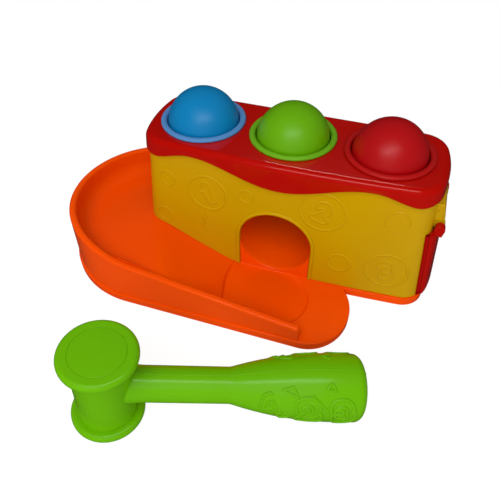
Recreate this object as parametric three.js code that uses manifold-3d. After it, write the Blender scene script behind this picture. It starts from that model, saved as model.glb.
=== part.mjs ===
// Ball pounding toy: three balls sit in soft collars on top of a block and are hammered through it.
// Each ball drops onto its own ramp and rolls out: by the left end into the round pool of the tray,
// by the arch in front, or by the hinged flap at the right end. The hammer lies in front of the tray.
// Millimetres, +Z up, X along the row of balls, the table at Z = 0 under the middle ball.

import * as THREE from 'three';
import { mergeVertices } from 'three/addons/utils/BufferGeometryUtils.js';
import Module from 'manifold-3d';

const wasm = await Module();
wasm.setup();

// Clearances
const FIT = 0.3;
const BALL_FIT = 0.35;
const PIN_FIT = 0.15;

// Balls
const BALL_DIAMETER = 47;
const BALL_WALL = 1.6;
const BALL_VENT_DIAMETER = 3;
const BALL_SINK = 2;

// Soft collars in the cap
const COLLAR_BALL_GAP = 1.2;
const COLLAR_BEAD_WIDTH = 3.3;
const COLLAR_BEAD_HEIGHT = 2.2;
const COLLAR_BEAD_ROUND = 0.9;
const COLLAR_SLEEVE_WALL = 1.6;
const COLLAR_DEPTH = 14;
const COLLAR_GRIP_RISE = 1;
const COLLAR_LIP = 0.8;
const COLLAR_SLOTS = 6;
const COLLAR_SLOT_WIDTH = 2.6;
const COLLAR_SLOT_DEPTH = 7;
const COLLAR_SPACING = 5;

// Block: yellow body under a red cap
const BLOCK_HEIGHT = 97.5;
const BODY_WALL = 2.2;
const BODY_CORNER = 14.5;
const BACK_MARGIN = 1.3;
const FRONT_MARGIN = 5.4;
const END_MARGIN = 5.8;
const BLOCK_SHIFT = 1;
const FRONT_BULGE = 4.5;
const END_BULGE = 5.8;
const END_DRAFT = THREE.MathUtils.degToRad(5.7);
const FRONT_DRAFT = THREE.MathUtils.degToRad(1.3);
const BACK_DRAFT = THREE.MathUtils.degToRad(0.7);
const CAP_PLATE = 2.3;
const CAP_WALL = 1.9;
const CAP_FILLET = 4;
const WAVE_DRIP = 18.3;
const WAVE_CREST = 6.4;
const WAVE_CORNER = 12.4;
const WAVE_CREST_X = 58;
const WAVE_CORNER_X = 86;
const ARCH_BEAD_WIDTH = 2.6;
const ARCH_BEAD_HEIGHT = 1.2;

// Ways out for the balls
const WAY_CLEARANCE = 1.6;
const CHUTE_WALL = 2;
const CHUTE_SLOPE = THREE.MathUtils.degToRad(9);
const CHUTE_LIP_Z = 7.6;
const CHUTE_RECESS = 0.6;
const RAMP_PLATE = 2;
const RAMP_SIDE_WALL = 1.6;
const RAMP_SIDE_HEIGHT = 9;
const RAMP_STOP_HEIGHT = 24;
const RAMP_LEG = 2.4;
const RAMP_LEG_INSET = 9;
const RAMP_CHUTE_GAP = 1;
const LEFT_SLOPE = THREE.MathUtils.degToRad(8);
const LEFT_END_Z = 30.2;
const RIGHT_SLOPE = THREE.MathUtils.degToRad(10);
const RIGHT_END_Z = 12.6;
const LEFT_WAY_SHIFT = 1;

// Tray
const FLANGE_HEIGHT = 6;
const FLANGE_LEDGE = 2.8;
const RIM_WIDTH = 5;
const RIM_HEIGHT = 45.5;
const RIM_TURN_HEIGHT = 40.5;
const RIM_CORNER_HEIGHT = 35;
const RIM_END_HEIGHT = 16.6;
const RIM_END_X = 32;
const RIM_TURN = 18;
const RIM_LEVEL = 52;
const FLOOR_THICKNESS = 3;
const PLATEAU_Z = 27.5;
const APRON_Z = 6.2;
const RAMP_TOP_X = -87;
const RAMP_TOP_FRONT_X = -56;
const RAMP_FOOT_X = -31;
const RAMP_FOOT_FRONT_X = -22;
const TURN_BACK_Y = -38;
const TURN_FRONT_Y = -90;
const POOL_RADIUS = 64.2;
const POOL_X = -90.2;
const POOL_Y = -25.3;
const APRON_RIGHT = 58.5;
const APRON_CORNER = 28;
const DISH_RADIUS = 24.5;
const DISH_LENGTH = 35;
const DISH_LEAN = 0.24;
const DISH_DEPTH = 1.4;
const DISH_X = 6;
const DISH_Y = -58.5;
const PLINTH_LEDGE = 1.5;
const UNDERSIDE_WALL = 2.6;
const RIB_THICKNESS = 2.6;
const RIB_LIFT = 1;
const CENTRE_PAD_DIAMETER = 14;

// Flap at the right end
const FLAP_DEPTH = 3.4;
const FLAP_WALL = 1.8;
const FLAP_HALF_WIDTH = 27;
const FLAP_FOOT_GAP = 1.2;
const FLAP_FOOT_ROUND = 3;
const HINGE_DROP = 32.5;
const HINGE_OFFSET = 1.7;
const HINGE_PIN_DIAMETER = 3;
const EAR_RADIUS = 3.2;
const EAR_WIDTH = 5;
const LUG_RADIUS = 2.9;
const LUG_WIDTH = 4.4;
const LUG_INSET = 14.5;
const HOOD_HEIGHT = 13;
const HOOD_TOP_DEPTH = 2.2;
const HOOD_FOOT_DEPTH = 4;
const HOOD_HALF_WIDTH = 20;

// Screws
const SCREW_DIAMETER = 3;
const SCREW_HEAD_DIAMETER = 6;
const SCREW_HEAD_HEIGHT = 1.8;
const SCREW_SEAT_Z = 3.4;
const BOSS_DIAMETER = 8.4;
const BOSS_END_WALL = 1.2;
const BOSS_SINK = 0.6;
const BODY_SCREW_X = 46;
const RAMP_SCREW_X = 70;
const RAMP_SCREW_Y = 12;
const TAB_THICKNESS = 2.6;
const CAP_BOSS_LENGTH = 8;

// Hammer
const HEAD_RADIUS = 20.9;
const HEAD_HALF_LENGTH = 30.5;
const HEAD_FLANGE = 6;
const HEAD_FLANGE_ROUND = 2.8;
const BARREL_RADIUS = 16.5;
const HEAD_WALL = 3.6;
const HAMMER_WALL = 2.4;
const FACE_RADIUS = 14.6;
const FACE_THICKNESS = 2;
const FACE_DOME = 0.6;
const SHAFT_RADIUS = 10;
const SHAFT_LENGTH = 68.5;
const GRIP_RADIUS = 18.8;
const GRIP_SWELL_END = 126.5;
const GRIP_END_ROUND = 5;
const HAMMER_REACH = 141.8;
const HAMMER_SPLIT = 0.3;
const PEG_DIAMETER = 4;
const PEG_REACH = 4;
const PEG_WALL = 1.6;
const PEG_PLACES = [40, 118];
const HAMMER_X = -58.4;
const HAMMER_Y = -164.3;
const HAMMER_YAW = THREE.MathUtils.degToRad(20.05);

// How finely round shapes are drawn, and a length past every piece
const ROUND_STEPS = 32;
const SMALL_STEPS = 12;
const FRONT_STEPS = 7;
const END_STEPS = 6;
const TURN_STEPS = 6;
const CORNER_STEPS = 4;
const WAVE_STEPS = 48;
const HALVINGS = 40;
const PAST = 300;

// Sizes that follow from the ones above
const BALL_RADIUS = BALL_DIAMETER / 2;
const COLLAR_INNER = BALL_RADIUS + COLLAR_BALL_GAP;
const COLLAR_RADIUS = COLLAR_INNER + COLLAR_BEAD_WIDTH;
const SLEEVE_RADIUS = COLLAR_INNER + COLLAR_SLEEVE_WALL;
const HOLE_PITCH = 2 * COLLAR_RADIUS + COLLAR_SPACING;
const BALL_CENTRE_Z = BLOCK_HEIGHT - BALL_SINK;
const PLATE_UNDERSIDE_Z = BLOCK_HEIGHT - CAP_PLATE;
const BODY_TOP_Z = PLATE_UNDERSIDE_Z - FIT;
const BODY_FRONT = COLLAR_RADIUS + FRONT_MARGIN;
const BODY_BACK = COLLAR_RADIUS + BACK_MARGIN;
const BODY_HALF_LENGTH = HOLE_PITCH + COLLAR_RADIUS + END_MARGIN;
const WAY_RADIUS = BALL_RADIUS + WAY_CLEARANCE;
const ARCH_CENTRE_Z = CHUTE_LIP_Z + WAY_RADIUS / Math.cos(CHUTE_SLOPE);
const RAMP_HALF_WIDTH = BALL_RADIUS + BALL_FIT;
const RAMP_START = WAY_RADIUS + CHUTE_WALL + RAMP_CHUTE_GAP;
const LEFT_RAMP = { end: rampEnd(LEFT_END_Z), endZ: LEFT_END_Z, slope: LEFT_SLOPE };
const RIGHT_RAMP = { end: rampEnd(RIGHT_END_Z), endZ: RIGHT_END_Z, slope: RIGHT_SLOPE };
const HINGE_Z = BLOCK_HEIGHT - HINGE_DROP;
const HINGE_X = rightEndX(HINGE_Z) + HINGE_OFFSET;
const FLAP_TOP_Z = HINGE_Z - EAR_RADIUS;
const SHANK_RADIUS = SCREW_DIAMETER / 2;
const BOSS_RADIUS = BOSS_DIAMETER / 2;
const TAB_TOP_Z = PLATE_UNDERSIDE_Z - CAP_BOSS_LENGTH - FIT;

// A closed geometry as a solid, with its shared corners merged
function solid(geometry) {
  const bare = geometry.clone();
  bare.deleteAttribute('normal');
  bare.deleteAttribute('uv');
  const merged = mergeVertices(bare);
  const triangles = [];
  for (let i = 0; i < merged.index.count; i += 3) {
    const [a, b, c] = [0, 1, 2].map((corner) => merged.index.getX(i + corner));
    if (a !== b && b !== c && c !== a) triangles.push(a, b, c);
  }
  const vertProperties = new Float32Array(merged.attributes.position.array);
  const triVerts = new Uint32Array(triangles);
  return new wasm.Manifold(new wasm.Mesh({ numProp: 3, vertProperties, triVerts }));
}

function geometryOf(manifold) {
  const mesh = manifold.getMesh();
  const geometry = new THREE.BufferGeometry();
  geometry.setAttribute('position', new THREE.BufferAttribute(mesh.vertProperties, mesh.numProp));
  geometry.setIndex(new THREE.BufferAttribute(mesh.triVerts, 1));
  geometry.computeVertexNormals();
  return geometry;
}

function joined(...solids) {
  return solids.reduce((whole, piece) => whole.add(piece));
}

function cut(whole, ...cutters) {
  return cutters.reduce((rest, cutter) => rest.subtract(cutter), whole);
}

function common(...solids) {
  return solids.reduce((whole, piece) => whole.intersect(piece));
}

// A closed skin over outlines that have equally many points, from the lowest to the highest
function skin(sections) {
  const count = sections[0].outline.length;
  const positions = sections.flatMap(({ z, outline }) => outline.flatMap((p) => [p.x, p.y, z]));
  const faces = [];
  for (let level = 0; level + 1 < sections.length; level += 1) {
    const low = level * count;
    const high = low + count;
    for (let i = 0; i < count; i += 1) {
      const next = (i + 1) % count;
      faces.push(low + i, low + next, high + next, low + i, high + next, high + i);
    }
  }
  const top = (sections.length - 1) * count;
  for (const [a, b, c] of THREE.ShapeUtils.triangulateShape(sections[0].outline, [])) {
    faces.push(a, c, b, top + a, top + b, top + c);
  }
  const geometry = new THREE.BufferGeometry();
  geometry.setAttribute('position', new THREE.Float32BufferAttribute(positions, 3));
  geometry.setIndex(faces);
  return geometry;
}

function loft(sections) {
  return solid(skin(sections));
}

function points(...pairs) {
  return pairs.map(([u, v]) => new THREE.Vector2(u, v));
}

// Points of an arc about (u, v), both ends included
function arc(u, v, radius, from, to, steps) {
  return Array.from({ length: steps + 1 }, (_, i) => {
    const angle = from + ((to - from) * i) / steps;
    return new THREE.Vector2(u + radius * Math.cos(angle), v + radius * Math.sin(angle));
  });
}

function extruded(outline, depth) {
  return new THREE.ExtrudeGeometry(new THREE.Shape(outline), { depth, bevelEnabled: false });
}

// Prisms of an outline seen from above, from the front as (x, z) and from the right end as (y, z)
function standing(outline, low, high) {
  return solid(extruded(outline, high - low).translate(0, 0, low));
}

function alongY(outline, near, far) {
  return solid(extruded(outline, far - near).rotateX(Math.PI / 2).translate(0, far, 0));
}

function alongX(outline, left, right) {
  const turn = new THREE.Matrix4().set(0, 0, 1, left, 1, 0, 0, 0, 0, 1, 0, 0, 0, 0, 0, 1);
  return solid(extruded(outline, right - left).applyMatrix4(turn));
}

function box(x0, x1, y0, y1, z0, z1) {
  const geometry = new THREE.BoxGeometry(x1 - x0, y1 - y0, z1 - z0);
  return solid(geometry.translate((x0 + x1) / 2, (y0 + y1) / 2, (z0 + z1) / 2));
}

function post(x, y, radius, low, high, steps = SMALL_STEPS) {
  const geometry = new THREE.CylinderGeometry(radius, radius, high - low, steps);
  return solid(geometry.rotateX(Math.PI / 2).translate(x, y, (low + high) / 2));
}

function rodAlongY(x, z, radius, near, far, steps = SMALL_STEPS) {
  const geometry = new THREE.CylinderGeometry(radius, radius, far - near, steps);
  return solid(geometry.translate(x, (near + far) / 2, z));
}

// A body of revolution about Z whose profile of (radius, height) rises outside and closes by itself
function turned(profile, steps = ROUND_STEPS) {
  return solid(new THREE.LatheGeometry(profile, steps).rotateX(Math.PI / 2));
}

// Where two circles cross, on the left of the way from the first to the second
function crossing(first, firstRadius, second, secondRadius) {
  const way = second.clone().sub(first);
  const along = (firstRadius ** 2 - secondRadius ** 2 + way.lengthSq()) / (2 * way.length());
  const aside = Math.sqrt(firstRadius ** 2 - along ** 2);
  way.normalize();
  return new THREE.Vector2(-way.y, way.x).multiplyScalar(aside).addScaledVector(way, along).add(first);
}

// The block's outline at a height, grown outwards by an offset: bowed front and ends, straight back
function bodyEndX(z) {
  return BODY_HALF_LENGTH + (BODY_TOP_Z - z) * Math.tan(END_DRAFT);
}

function rightEndX(z) {
  return BLOCK_SHIFT + bodyEndX(z);
}

function bodyBackY(z) {
  return BODY_BACK + (BODY_TOP_Z - z) * Math.tan(BACK_DRAFT);
}

function bow(z) {
  const half = bodyEndX(z);
  const radius = (half ** 2 + FRONT_BULGE ** 2) / (2 * FRONT_BULGE);
  return { radius, centre: radius - BODY_FRONT - (BODY_TOP_Z - z) * Math.tan(FRONT_DRAFT) };
}

function endBow(z) {
  const half = (BODY_FRONT + BODY_BACK) / 2;
  const radius = (half ** 2 + END_BULGE ** 2) / (2 * END_BULGE);
  return { radius, centre: bodyEndX(z) - radius };
}

function bodyFrontY(x, z) {
  const { radius, centre } = bow(z);
  return centre - Math.sqrt(radius ** 2 - (x - BLOCK_SHIFT) ** 2);
}

function blockOutline(z, offset = 0) {
  const front = bow(z);
  const end = endBow(z);
  const endReach = end.radius - BODY_CORNER;
  const near = crossing(new THREE.Vector2(0, front.centre), front.radius - BODY_CORNER,
    new THREE.Vector2(end.centre, 0), endReach);
  const farY = bodyBackY(z) - BODY_CORNER;
  const far = new THREE.Vector2(end.centre + Math.sqrt(endReach ** 2 - farY ** 2), farY);
  const lean = Math.atan2(near.y - front.centre, near.x);
  const [nearTurn, farTurn] = [near, far].map((p) => Math.atan2(p.y, p.x - end.centre));
  const corner = BODY_CORNER + offset;
  const right = [
    arc(0, front.centre, front.radius + offset, -Math.PI / 2, lean, FRONT_STEPS),
    arc(near.x, near.y, corner, lean, nearTurn, END_STEPS).slice(1),
    arc(end.centre, 0, end.radius + offset, nearTurn, farTurn, END_STEPS).slice(1),
    arc(far.x, far.y, corner, farTurn, Math.PI / 2, END_STEPS).slice(1),
  ].flat();
  const left = right.slice(1).reverse().map((p) => new THREE.Vector2(-p.x, p.y));
  return [...right, ...left].map((p) => new THREE.Vector2(p.x + BLOCK_SHIFT, p.y));
}

function block(low, high, offset = 0) {
  return loft([low, high].map((z) => ({ z, outline: blockOutline(z, offset) })));
}

// An opening with straight sides and a round top, as an outline that starts at the table
function archOutline(middle, springZ, radius) {
  return [...arc(middle, springZ, radius, 0, Math.PI, ROUND_STEPS / 2),
    ...points([middle - radius, 0], [middle + radius, 0])];
}

// The tray's floor along X: a plateau on the left, a ramp that is shorter towards the front, and an apron
function floorLine(y, rise) {
  const share = THREE.MathUtils.mapLinear(y, TURN_BACK_Y, TURN_FRONT_Y, 0, 1);
  const top = THREE.MathUtils.lerp(RAMP_TOP_X, RAMP_TOP_FRONT_X, share);
  const foot = THREE.MathUtils.lerp(RAMP_FOOT_X, RAMP_FOOT_FRONT_X, share);
  const [high, low] = [PLATEAU_Z + rise, APRON_Z + rise];
  return points([-PAST, high], [top, high], [foot, low], [PAST, low]);
}

// A solid along Y over outlines that are drawn from the front as (x, z) and follow the floor's turn
function alongTurn(outlineAt) {
  const turn = Array.from({ length: TURN_STEPS + 1 },
    (_, i) => THREE.MathUtils.lerp(TURN_BACK_Y, TURN_FRONT_Y, i / TURN_STEPS));
  const sections = turn.map((y) => ({ z: -y, outline: outlineAt(y) }));
  const back = { z: -PAST, outline: outlineAt(TURN_BACK_Y) };
  const front = { z: PAST, outline: outlineAt(TURN_FRONT_Y) };
  return solid(skin([back, ...sections, front]).rotateX(Math.PI / 2));
}

function aboveFloor(rise) {
  const over = points([PAST, PAST], [-PAST, PAST]);
  return alongTurn((y) => [...floorLine(y, rise), ...over]);
}

function belowFloor(rise) {
  const under = points([-PAST, -PAST], [PAST, -PAST]);
  return alongTurn((y) => [...under, ...floorLine(y, rise).reverse()]);
}

// The tray seen from above, moved inwards: a round pool and a straight track before the block
function trayArea(inset, low, high) {
  const radius = POOL_RADIUS - inset;
  const near = POOL_Y - radius;
  const right = APRON_RIGHT - inset;
  const corner = APRON_CORNER - inset;
  const bend = arc(right - corner, near + corner, corner, -Math.PI / 2, 0, 2 * CORNER_STEPS);
  const track = [...points([POOL_X, POOL_Y], [POOL_X, near]), ...bend, ...points([right, POOL_Y])];
  return joined(post(POOL_X, POOL_Y, radius, low, high, 2 * ROUND_STEPS), standing(track, low, high));
}

function plinthArea(inset, low, high) {
  return standing(blockOutline(APRON_Z, PLINTH_LEDGE - inset), low, high);
}

function rampEnd(endZ) {
  return bodyEndX(endZ + RAMP_SIDE_HEIGHT) - BODY_WALL - FIT;
}

function rampZ(ramp, reach) {
  return ramp.endZ + (ramp.end - reach) * Math.tan(ramp.slope);
}

function chuteZ(y) {
  return CHUTE_LIP_Z + (y - bodyFrontY(0, CHUTE_LIP_Z)) * Math.tan(CHUTE_SLOPE);
}

// Every screw stands upright, head down: its place, the height of its seat and of its tip
const BODY_SCREW_TIP = rampZ(RIGHT_RAMP, BODY_SCREW_X) - RAMP_PLATE - FIT - 2 * BOSS_END_WALL;
const BODY_SCREW_FRONT = bodyFrontY(BODY_SCREW_X, APRON_Z) + BODY_WALL + BOSS_RADIUS - BOSS_SINK;
const BODY_SCREW_BACK = bodyBackY(APRON_Z) - BODY_WALL - BOSS_RADIUS + BOSS_SINK;
const CAP_SCREW_X = HOLE_PITCH / 2;
const CAP_SCREW_FRONT = bodyFrontY(CAP_SCREW_X, TAB_TOP_Z) + BODY_WALL + BOSS_RADIUS + 3 * FIT;
const CAP_SCREW_BACK = bodyBackY(TAB_TOP_Z) - BODY_WALL - BOSS_RADIUS - 3 * FIT;
const CAP_SCREW_TIP = PLATE_UNDERSIDE_Z - BOSS_END_WALL;

function corners(name, x, front, back, place) {
  return [[-x, front], [x, front], [x, back], [-x, back]].map(
    ([cornerX, cornerY], i) => ({ name: `${name}_${i + 1}`, x: cornerX, y: cornerY, ...place }));
}

const BODY_SCREWS = corners('body_screw', BODY_SCREW_X, BODY_SCREW_FRONT, BODY_SCREW_BACK,
  { seat: SCREW_SEAT_Z, tip: BODY_SCREW_TIP });
const CAP_SCREWS = corners('cap_screw', CAP_SCREW_X, CAP_SCREW_FRONT, CAP_SCREW_BACK,
  { seat: TAB_TOP_Z - TAB_THICKNESS, tip: CAP_SCREW_TIP });
const LEFT_RAMP_SCREW = { name: 'ramp_screw_left', x: -RAMP_SCREW_X, y: RAMP_SCREW_Y,
  seat: SCREW_SEAT_Z, tip: rampZ(LEFT_RAMP, RAMP_SCREW_X) - RAMP_PLATE - BOSS_END_WALL };
const RIGHT_RAMP_SCREW = { name: 'ramp_screw_right', x: RAMP_SCREW_X, y: RAMP_SCREW_Y,
  seat: SCREW_SEAT_Z, tip: rampZ(RIGHT_RAMP, RAMP_SCREW_X) - RAMP_PLATE - BOSS_END_WALL };
const CHUTE_SCREW = { name: 'chute_screw', x: 0, y: RAMP_SCREW_Y,
  seat: SCREW_SEAT_Z, tip: chuteZ(RAMP_SCREW_Y) - CHUTE_WALL - BOSS_END_WALL };
const BASE_SCREWS = [...BODY_SCREWS, LEFT_RAMP_SCREW, RIGHT_RAMP_SCREW, CHUTE_SCREW];

function shankHole({ x, y, seat, tip }) {
  return post(x, y, SHANK_RADIUS + FIT, seat - FIT, tip + FIT);
}

function headRecess({ x, y, seat }) {
  return post(x, y, BOSS_RADIUS, 0, seat);
}

function screw({ seat, tip }) {
  const head = SCREW_HEAD_DIAMETER / 2;
  const headTop = seat - FIT;
  const profile = points([0, headTop - SCREW_HEAD_HEIGHT], [head, headTop - SCREW_HEAD_HEIGHT],
    [head, headTop], [SHANK_RADIUS, headTop], [SHANK_RADIUS, tip - SHANK_RADIUS], [0, tip]);
  return turned(profile, SMALL_STEPS);
}

// Base: one orange moulding, open below and stiffened by ribs, with track, pool, dish and plinth
function baseTray() {
  const rimLine = points([-PAST, 0], [PAST, 0], [PAST, APRON_Z], [RIM_END_X, APRON_Z],
    [RIM_END_X, RIM_END_HEIGHT], [POOL_X, RIM_CORNER_HEIGHT], [POOL_X - RIM_TURN, RIM_TURN_HEIGHT],
    [POOL_X - RIM_LEVEL, RIM_HEIGHT], [-PAST, RIM_HEIGHT]);
  const split = POOL_Y - FLANGE_LEDGE;
  const rimRange = joined(alongY(rimLine, -PAST, split), box(-PAST, PAST, split, PAST, 0, RIM_HEIGHT));
  const wall = common(trayArea(FLANGE_LEDGE, 0, RIM_HEIGHT), rimRange);
  const plinth = common(plinthArea(0, 0, RIM_HEIGHT), belowFloor(0));
  const filled = joined(trayArea(0, 0, FLANGE_HEIGHT), wall, plinth);

  const backDeck = box(POOL_X, PAST, bodyBackY(APRON_Z) + PLINTH_LEDGE, PAST, 0, PAST);
  const inside = trayArea(FLANGE_LEDGE + RIM_WIDTH, 0, PAST);
  const basin = cut(common(joined(inside, plinthArea(0, 0, PAST)), aboveFloor(0)), backDeck);
  const dishEnd = arc(DISH_X, DISH_Y, DISH_RADIUS, -Math.PI / 2, Math.PI / 2, ROUND_STEPS / 2);
  const dishLeft = dishEnd.filter((p, i) => i === 0 || i === dishEnd.length - 1).reverse().map(
    (p) => new THREE.Vector2(p.x - DISH_LENGTH - DISH_LEAN * (p.y - DISH_Y), p.y));
  const dish = cut(standing([...dishEnd, ...dishLeft], APRON_Z - DISH_DEPTH, PAST),
    block(-PAST / 2, BLOCK_HEIGHT, PLINTH_LEDGE));

  const under = joined(trayArea(FLANGE_LEDGE + UNDERSIDE_WALL, -PAST, PAST),
    plinthArea(UNDERSIDE_WALL, -PAST, PAST));
  const half = RIB_THICKNESS / 2;
  const ribs = joined(box(-PAST, PAST, -half, half, RIB_LIFT, PAST),
    box(-half, half, -PAST, PAST, RIB_LIFT, PAST), post(0, 0, CENTRE_PAD_DIAMETER / 2, 0, PAST));
  const bosses = BASE_SCREWS.map(({ x, y, seat }) => post(x, y, BOSS_RADIUS, seat, PAST));
  const hollow = cut(common(under, belowFloor(-FLOOR_THICKNESS)), ribs, ...bosses);
  const screwHoles = [...BASE_SCREWS.map(headRecess), ...BASE_SCREWS.map(shankHole)];
  return cut(filled, basin, common(dish, inside), hollow, ...screwHoles);
}

// Body: the yellow shell with its arch, the left way out, the hinge lugs and their hood
function bodyShell() {
  const shell = cut(block(0, BODY_TOP_Z), block(-1, BODY_TOP_Z + 1, -BODY_WALL));
  const bosses = BODY_SCREWS.map(({ x, y, tip }) => post(x, y, BOSS_RADIUS, 0, tip + BOSS_END_WALL));
  const tabs = CAP_SCREWS.map(({ x, y, seat }) => joined(post(x, y, BOSS_RADIUS, seat, TAB_TOP_Z),
    box(x - BOSS_RADIUS, x + BOSS_RADIUS, Math.min(y, 2 * y), Math.max(y, 2 * y), seat, TAB_TOP_Z)));
  const inside = block(0, BODY_TOP_Z, -BODY_WALL / 2);
  const fittings = common(joined(...bosses, ...tabs), inside);

  const bead = cut(alongY(archOutline(0, ARCH_CENTRE_Z, WAY_RADIUS + ARCH_BEAD_WIDTH), -PAST, 0),
    alongY(archOutline(0, ARCH_CENTRE_Z, WAY_RADIUS), -PAST, 0), block(0, BODY_TOP_Z, -BODY_WALL / 2));
  const archBead = common(bead, block(0, BODY_TOP_Z, ARCH_BEAD_HEIGHT));

  const hoodFoot = HINGE_Z + EAR_RADIUS + 2 * FIT;
  const hoodTop = hoodFoot + HOOD_HEIGHT;
  const sunk = BODY_WALL / 2;
  const within = bodyEndX(hoodTop) - 2 * END_BULGE;
  const hood = alongY(points([within, hoodTop], [within, hoodFoot],
    [rightEndX(hoodFoot) + HOOD_FOOT_DEPTH, hoodFoot], [rightEndX(hoodTop) + HOOD_TOP_DEPTH, hoodTop]),
  -HOOD_HALF_WIDTH, HOOD_HALF_WIDTH);
  const lugs = [-1, 1].map((side) => {
    const [near, far] = [side * LUG_INSET, side * (LUG_INSET + LUG_WIDTH)].sort((a, b) => a - b);
    const arm = box(within, HINGE_X, near, far, HINGE_Z - LUG_RADIUS / 2, hoodFoot);
    return joined(arm, rodAlongY(HINGE_X, HINGE_Z, LUG_RADIUS, near, far, ROUND_STEPS));
  });

  const arch = alongY(archOutline(0, ARCH_CENTRE_Z, WAY_RADIUS), -PAST, 0);
  const leftSpring = LEFT_END_Z + RAMP_HALF_WIDTH;
  const leftWay = alongX(archOutline(LEFT_WAY_SHIFT, leftSpring, RAMP_HALF_WIDTH), -PAST, -RAMP_START);
  const rightSpring = RIGHT_END_Z + RAMP_HALF_WIDTH;
  const rightWay = common(alongX(archOutline(0, rightSpring, RAMP_HALF_WIDTH), RAMP_START, PAST),
    block(0, BODY_TOP_Z, sunk));
  const pinHole = rodAlongY(HINGE_X, HINGE_Z, HINGE_PIN_DIAMETER / 2 + PIN_FIT, -PAST, PAST);
  const hinge = cut(joined(hood, ...lugs), block(0, BODY_TOP_Z, -sunk));
  const whole = joined(shell, fittings, archBead, hinge);
  const holes = [...BODY_SCREWS, ...CAP_SCREWS].map(shankHole);
  return cut(whole, arch, leftWay, rightWay, pinHole, belowFloor(FIT), ...holes);
}

// Cap: the red lid with three holes, rounded top edge and a wavy skirt over the body
function waveZ(x) {
  const far = Math.abs(x);
  const [from, to, start, end] = far < WAVE_CREST_X
    ? [WAVE_DRIP, WAVE_CREST, 0, WAVE_CREST_X] : [WAVE_CREST, WAVE_CORNER, WAVE_CREST_X, WAVE_CORNER_X];
  const swing = Math.cos((Math.PI * (far - start)) / (end - start));
  return BLOCK_HEIGHT - (from + to) / 2 - ((from - to) / 2) * swing;
}

function topCap() {
  const outer = CAP_WALL + FIT;
  const skirtFoot = BLOCK_HEIGHT - 2 * WAVE_DRIP;
  const sections = [{ z: skirtFoot, outline: blockOutline(skirtFoot, outer) }];
  for (let i = 0; i <= CORNER_STEPS; i += 1) {
    const angle = (Math.PI / 2) * (i / CORNER_STEPS);
    const z = BLOCK_HEIGHT - CAP_FILLET * (1 - Math.sin(angle));
    sections.push({ z, outline: blockOutline(z, outer - CAP_FILLET * (1 - Math.cos(angle))) });
  }
  const inside = block(skirtFoot - 1, PLATE_UNDERSIDE_Z, FIT);
  const span = rightEndX(skirtFoot) + outer + 1;
  const wave = Array.from({ length: WAVE_STEPS + 1 }, (_, i) => {
    const x = span * ((2 * i) / WAVE_STEPS - 1);
    return new THREE.Vector2(x, waveZ(x));
  });
  const belowWave = alongY([...points([-span, 0], [span, 0]), ...wave.reverse()], -PAST, PAST);
  const bosses = CAP_SCREWS.map(
    ({ x, y }) => post(x, y, BOSS_RADIUS, TAB_TOP_Z + FIT, BODY_TOP_Z + CAP_PLATE));
  const holes = [-HOLE_PITCH, 0, HOLE_PITCH].map(
    (x) => post(x, 0, SLEEVE_RADIUS + FIT, 0, PAST, 2 * ROUND_STEPS));
  const hat = cut(loft(sections), inside, belowWave, ...holes);
  return cut(joined(hat, ...bosses), ...CAP_SCREWS.map(shankHole));
}

// Collar: a soft ring that snaps into a hole of the cap and holds the ball with its fingers
function collar() {
  const foot = -COLLAR_DEPTH;
  const gripTop = COLLAR_GRIP_RISE - BALL_SINK;
  const top = FIT + COLLAR_BEAD_HEIGHT;
  const lip = -CAP_PLATE - FIT;
  const grip = BALL_RADIUS + BALL_FIT;
  const profile = points([grip, foot], [SLEEVE_RADIUS, foot], [SLEEVE_RADIUS, lip - 2 * COLLAR_LIP],
    [SLEEVE_RADIUS + COLLAR_LIP, lip], [SLEEVE_RADIUS, lip], [SLEEVE_RADIUS, FIT], [COLLAR_RADIUS, FIT],
    [COLLAR_RADIUS, top - COLLAR_BEAD_ROUND], [COLLAR_RADIUS - COLLAR_BEAD_ROUND, top],
    [COLLAR_INNER + COLLAR_BEAD_ROUND, top], [COLLAR_INNER, top - COLLAR_BEAD_ROUND],
    [COLLAR_INNER, gripTop + COLLAR_BALL_GAP], [grip, gripTop], [grip, foot]);
  const half = COLLAR_SLOT_WIDTH / 2;
  const slots = Array.from({ length: COLLAR_SLOTS }, (_, i) => {
    const slot = new THREE.BoxGeometry(COLLAR_RADIUS, 2 * half, COLLAR_SLOT_DEPTH);
    slot.translate(COLLAR_RADIUS, 0, foot).rotateZ((2 * Math.PI * (i + 0.5)) / COLLAR_SLOTS);
    return solid(slot);
  });
  return cut(turned(profile), ...slots);
}

// Ball: a blow-moulded shell with a small vent below
function ball() {
  const vent = BALL_VENT_DIAMETER / 2;
  const shellArc = (radius) => arc(0, 0, radius, Math.asin(-1) + Math.asin(vent / radius), Math.PI / 2,
    ROUND_STEPS / 4);
  const profile = [...shellArc(BALL_RADIUS - BALL_WALL).reverse(), ...shellArc(BALL_RADIUS)];
  profile[0].x = 0;
  profile.at(-1).x = 0;
  return turned(profile);
}

// Chute under the middle hole: a half pipe that slopes to the arch, with a face that fills the arch's foot
function slopedRod(radius) {
  const geometry = new THREE.CylinderGeometry(radius, radius, PAST, 2 * ROUND_STEPS);
  const axisZ = chuteZ(0) + WAY_RADIUS / Math.cos(CHUTE_SLOPE);
  return solid(geometry.rotateX(CHUTE_SLOPE).translate(0, 0, axisZ));
}

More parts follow.
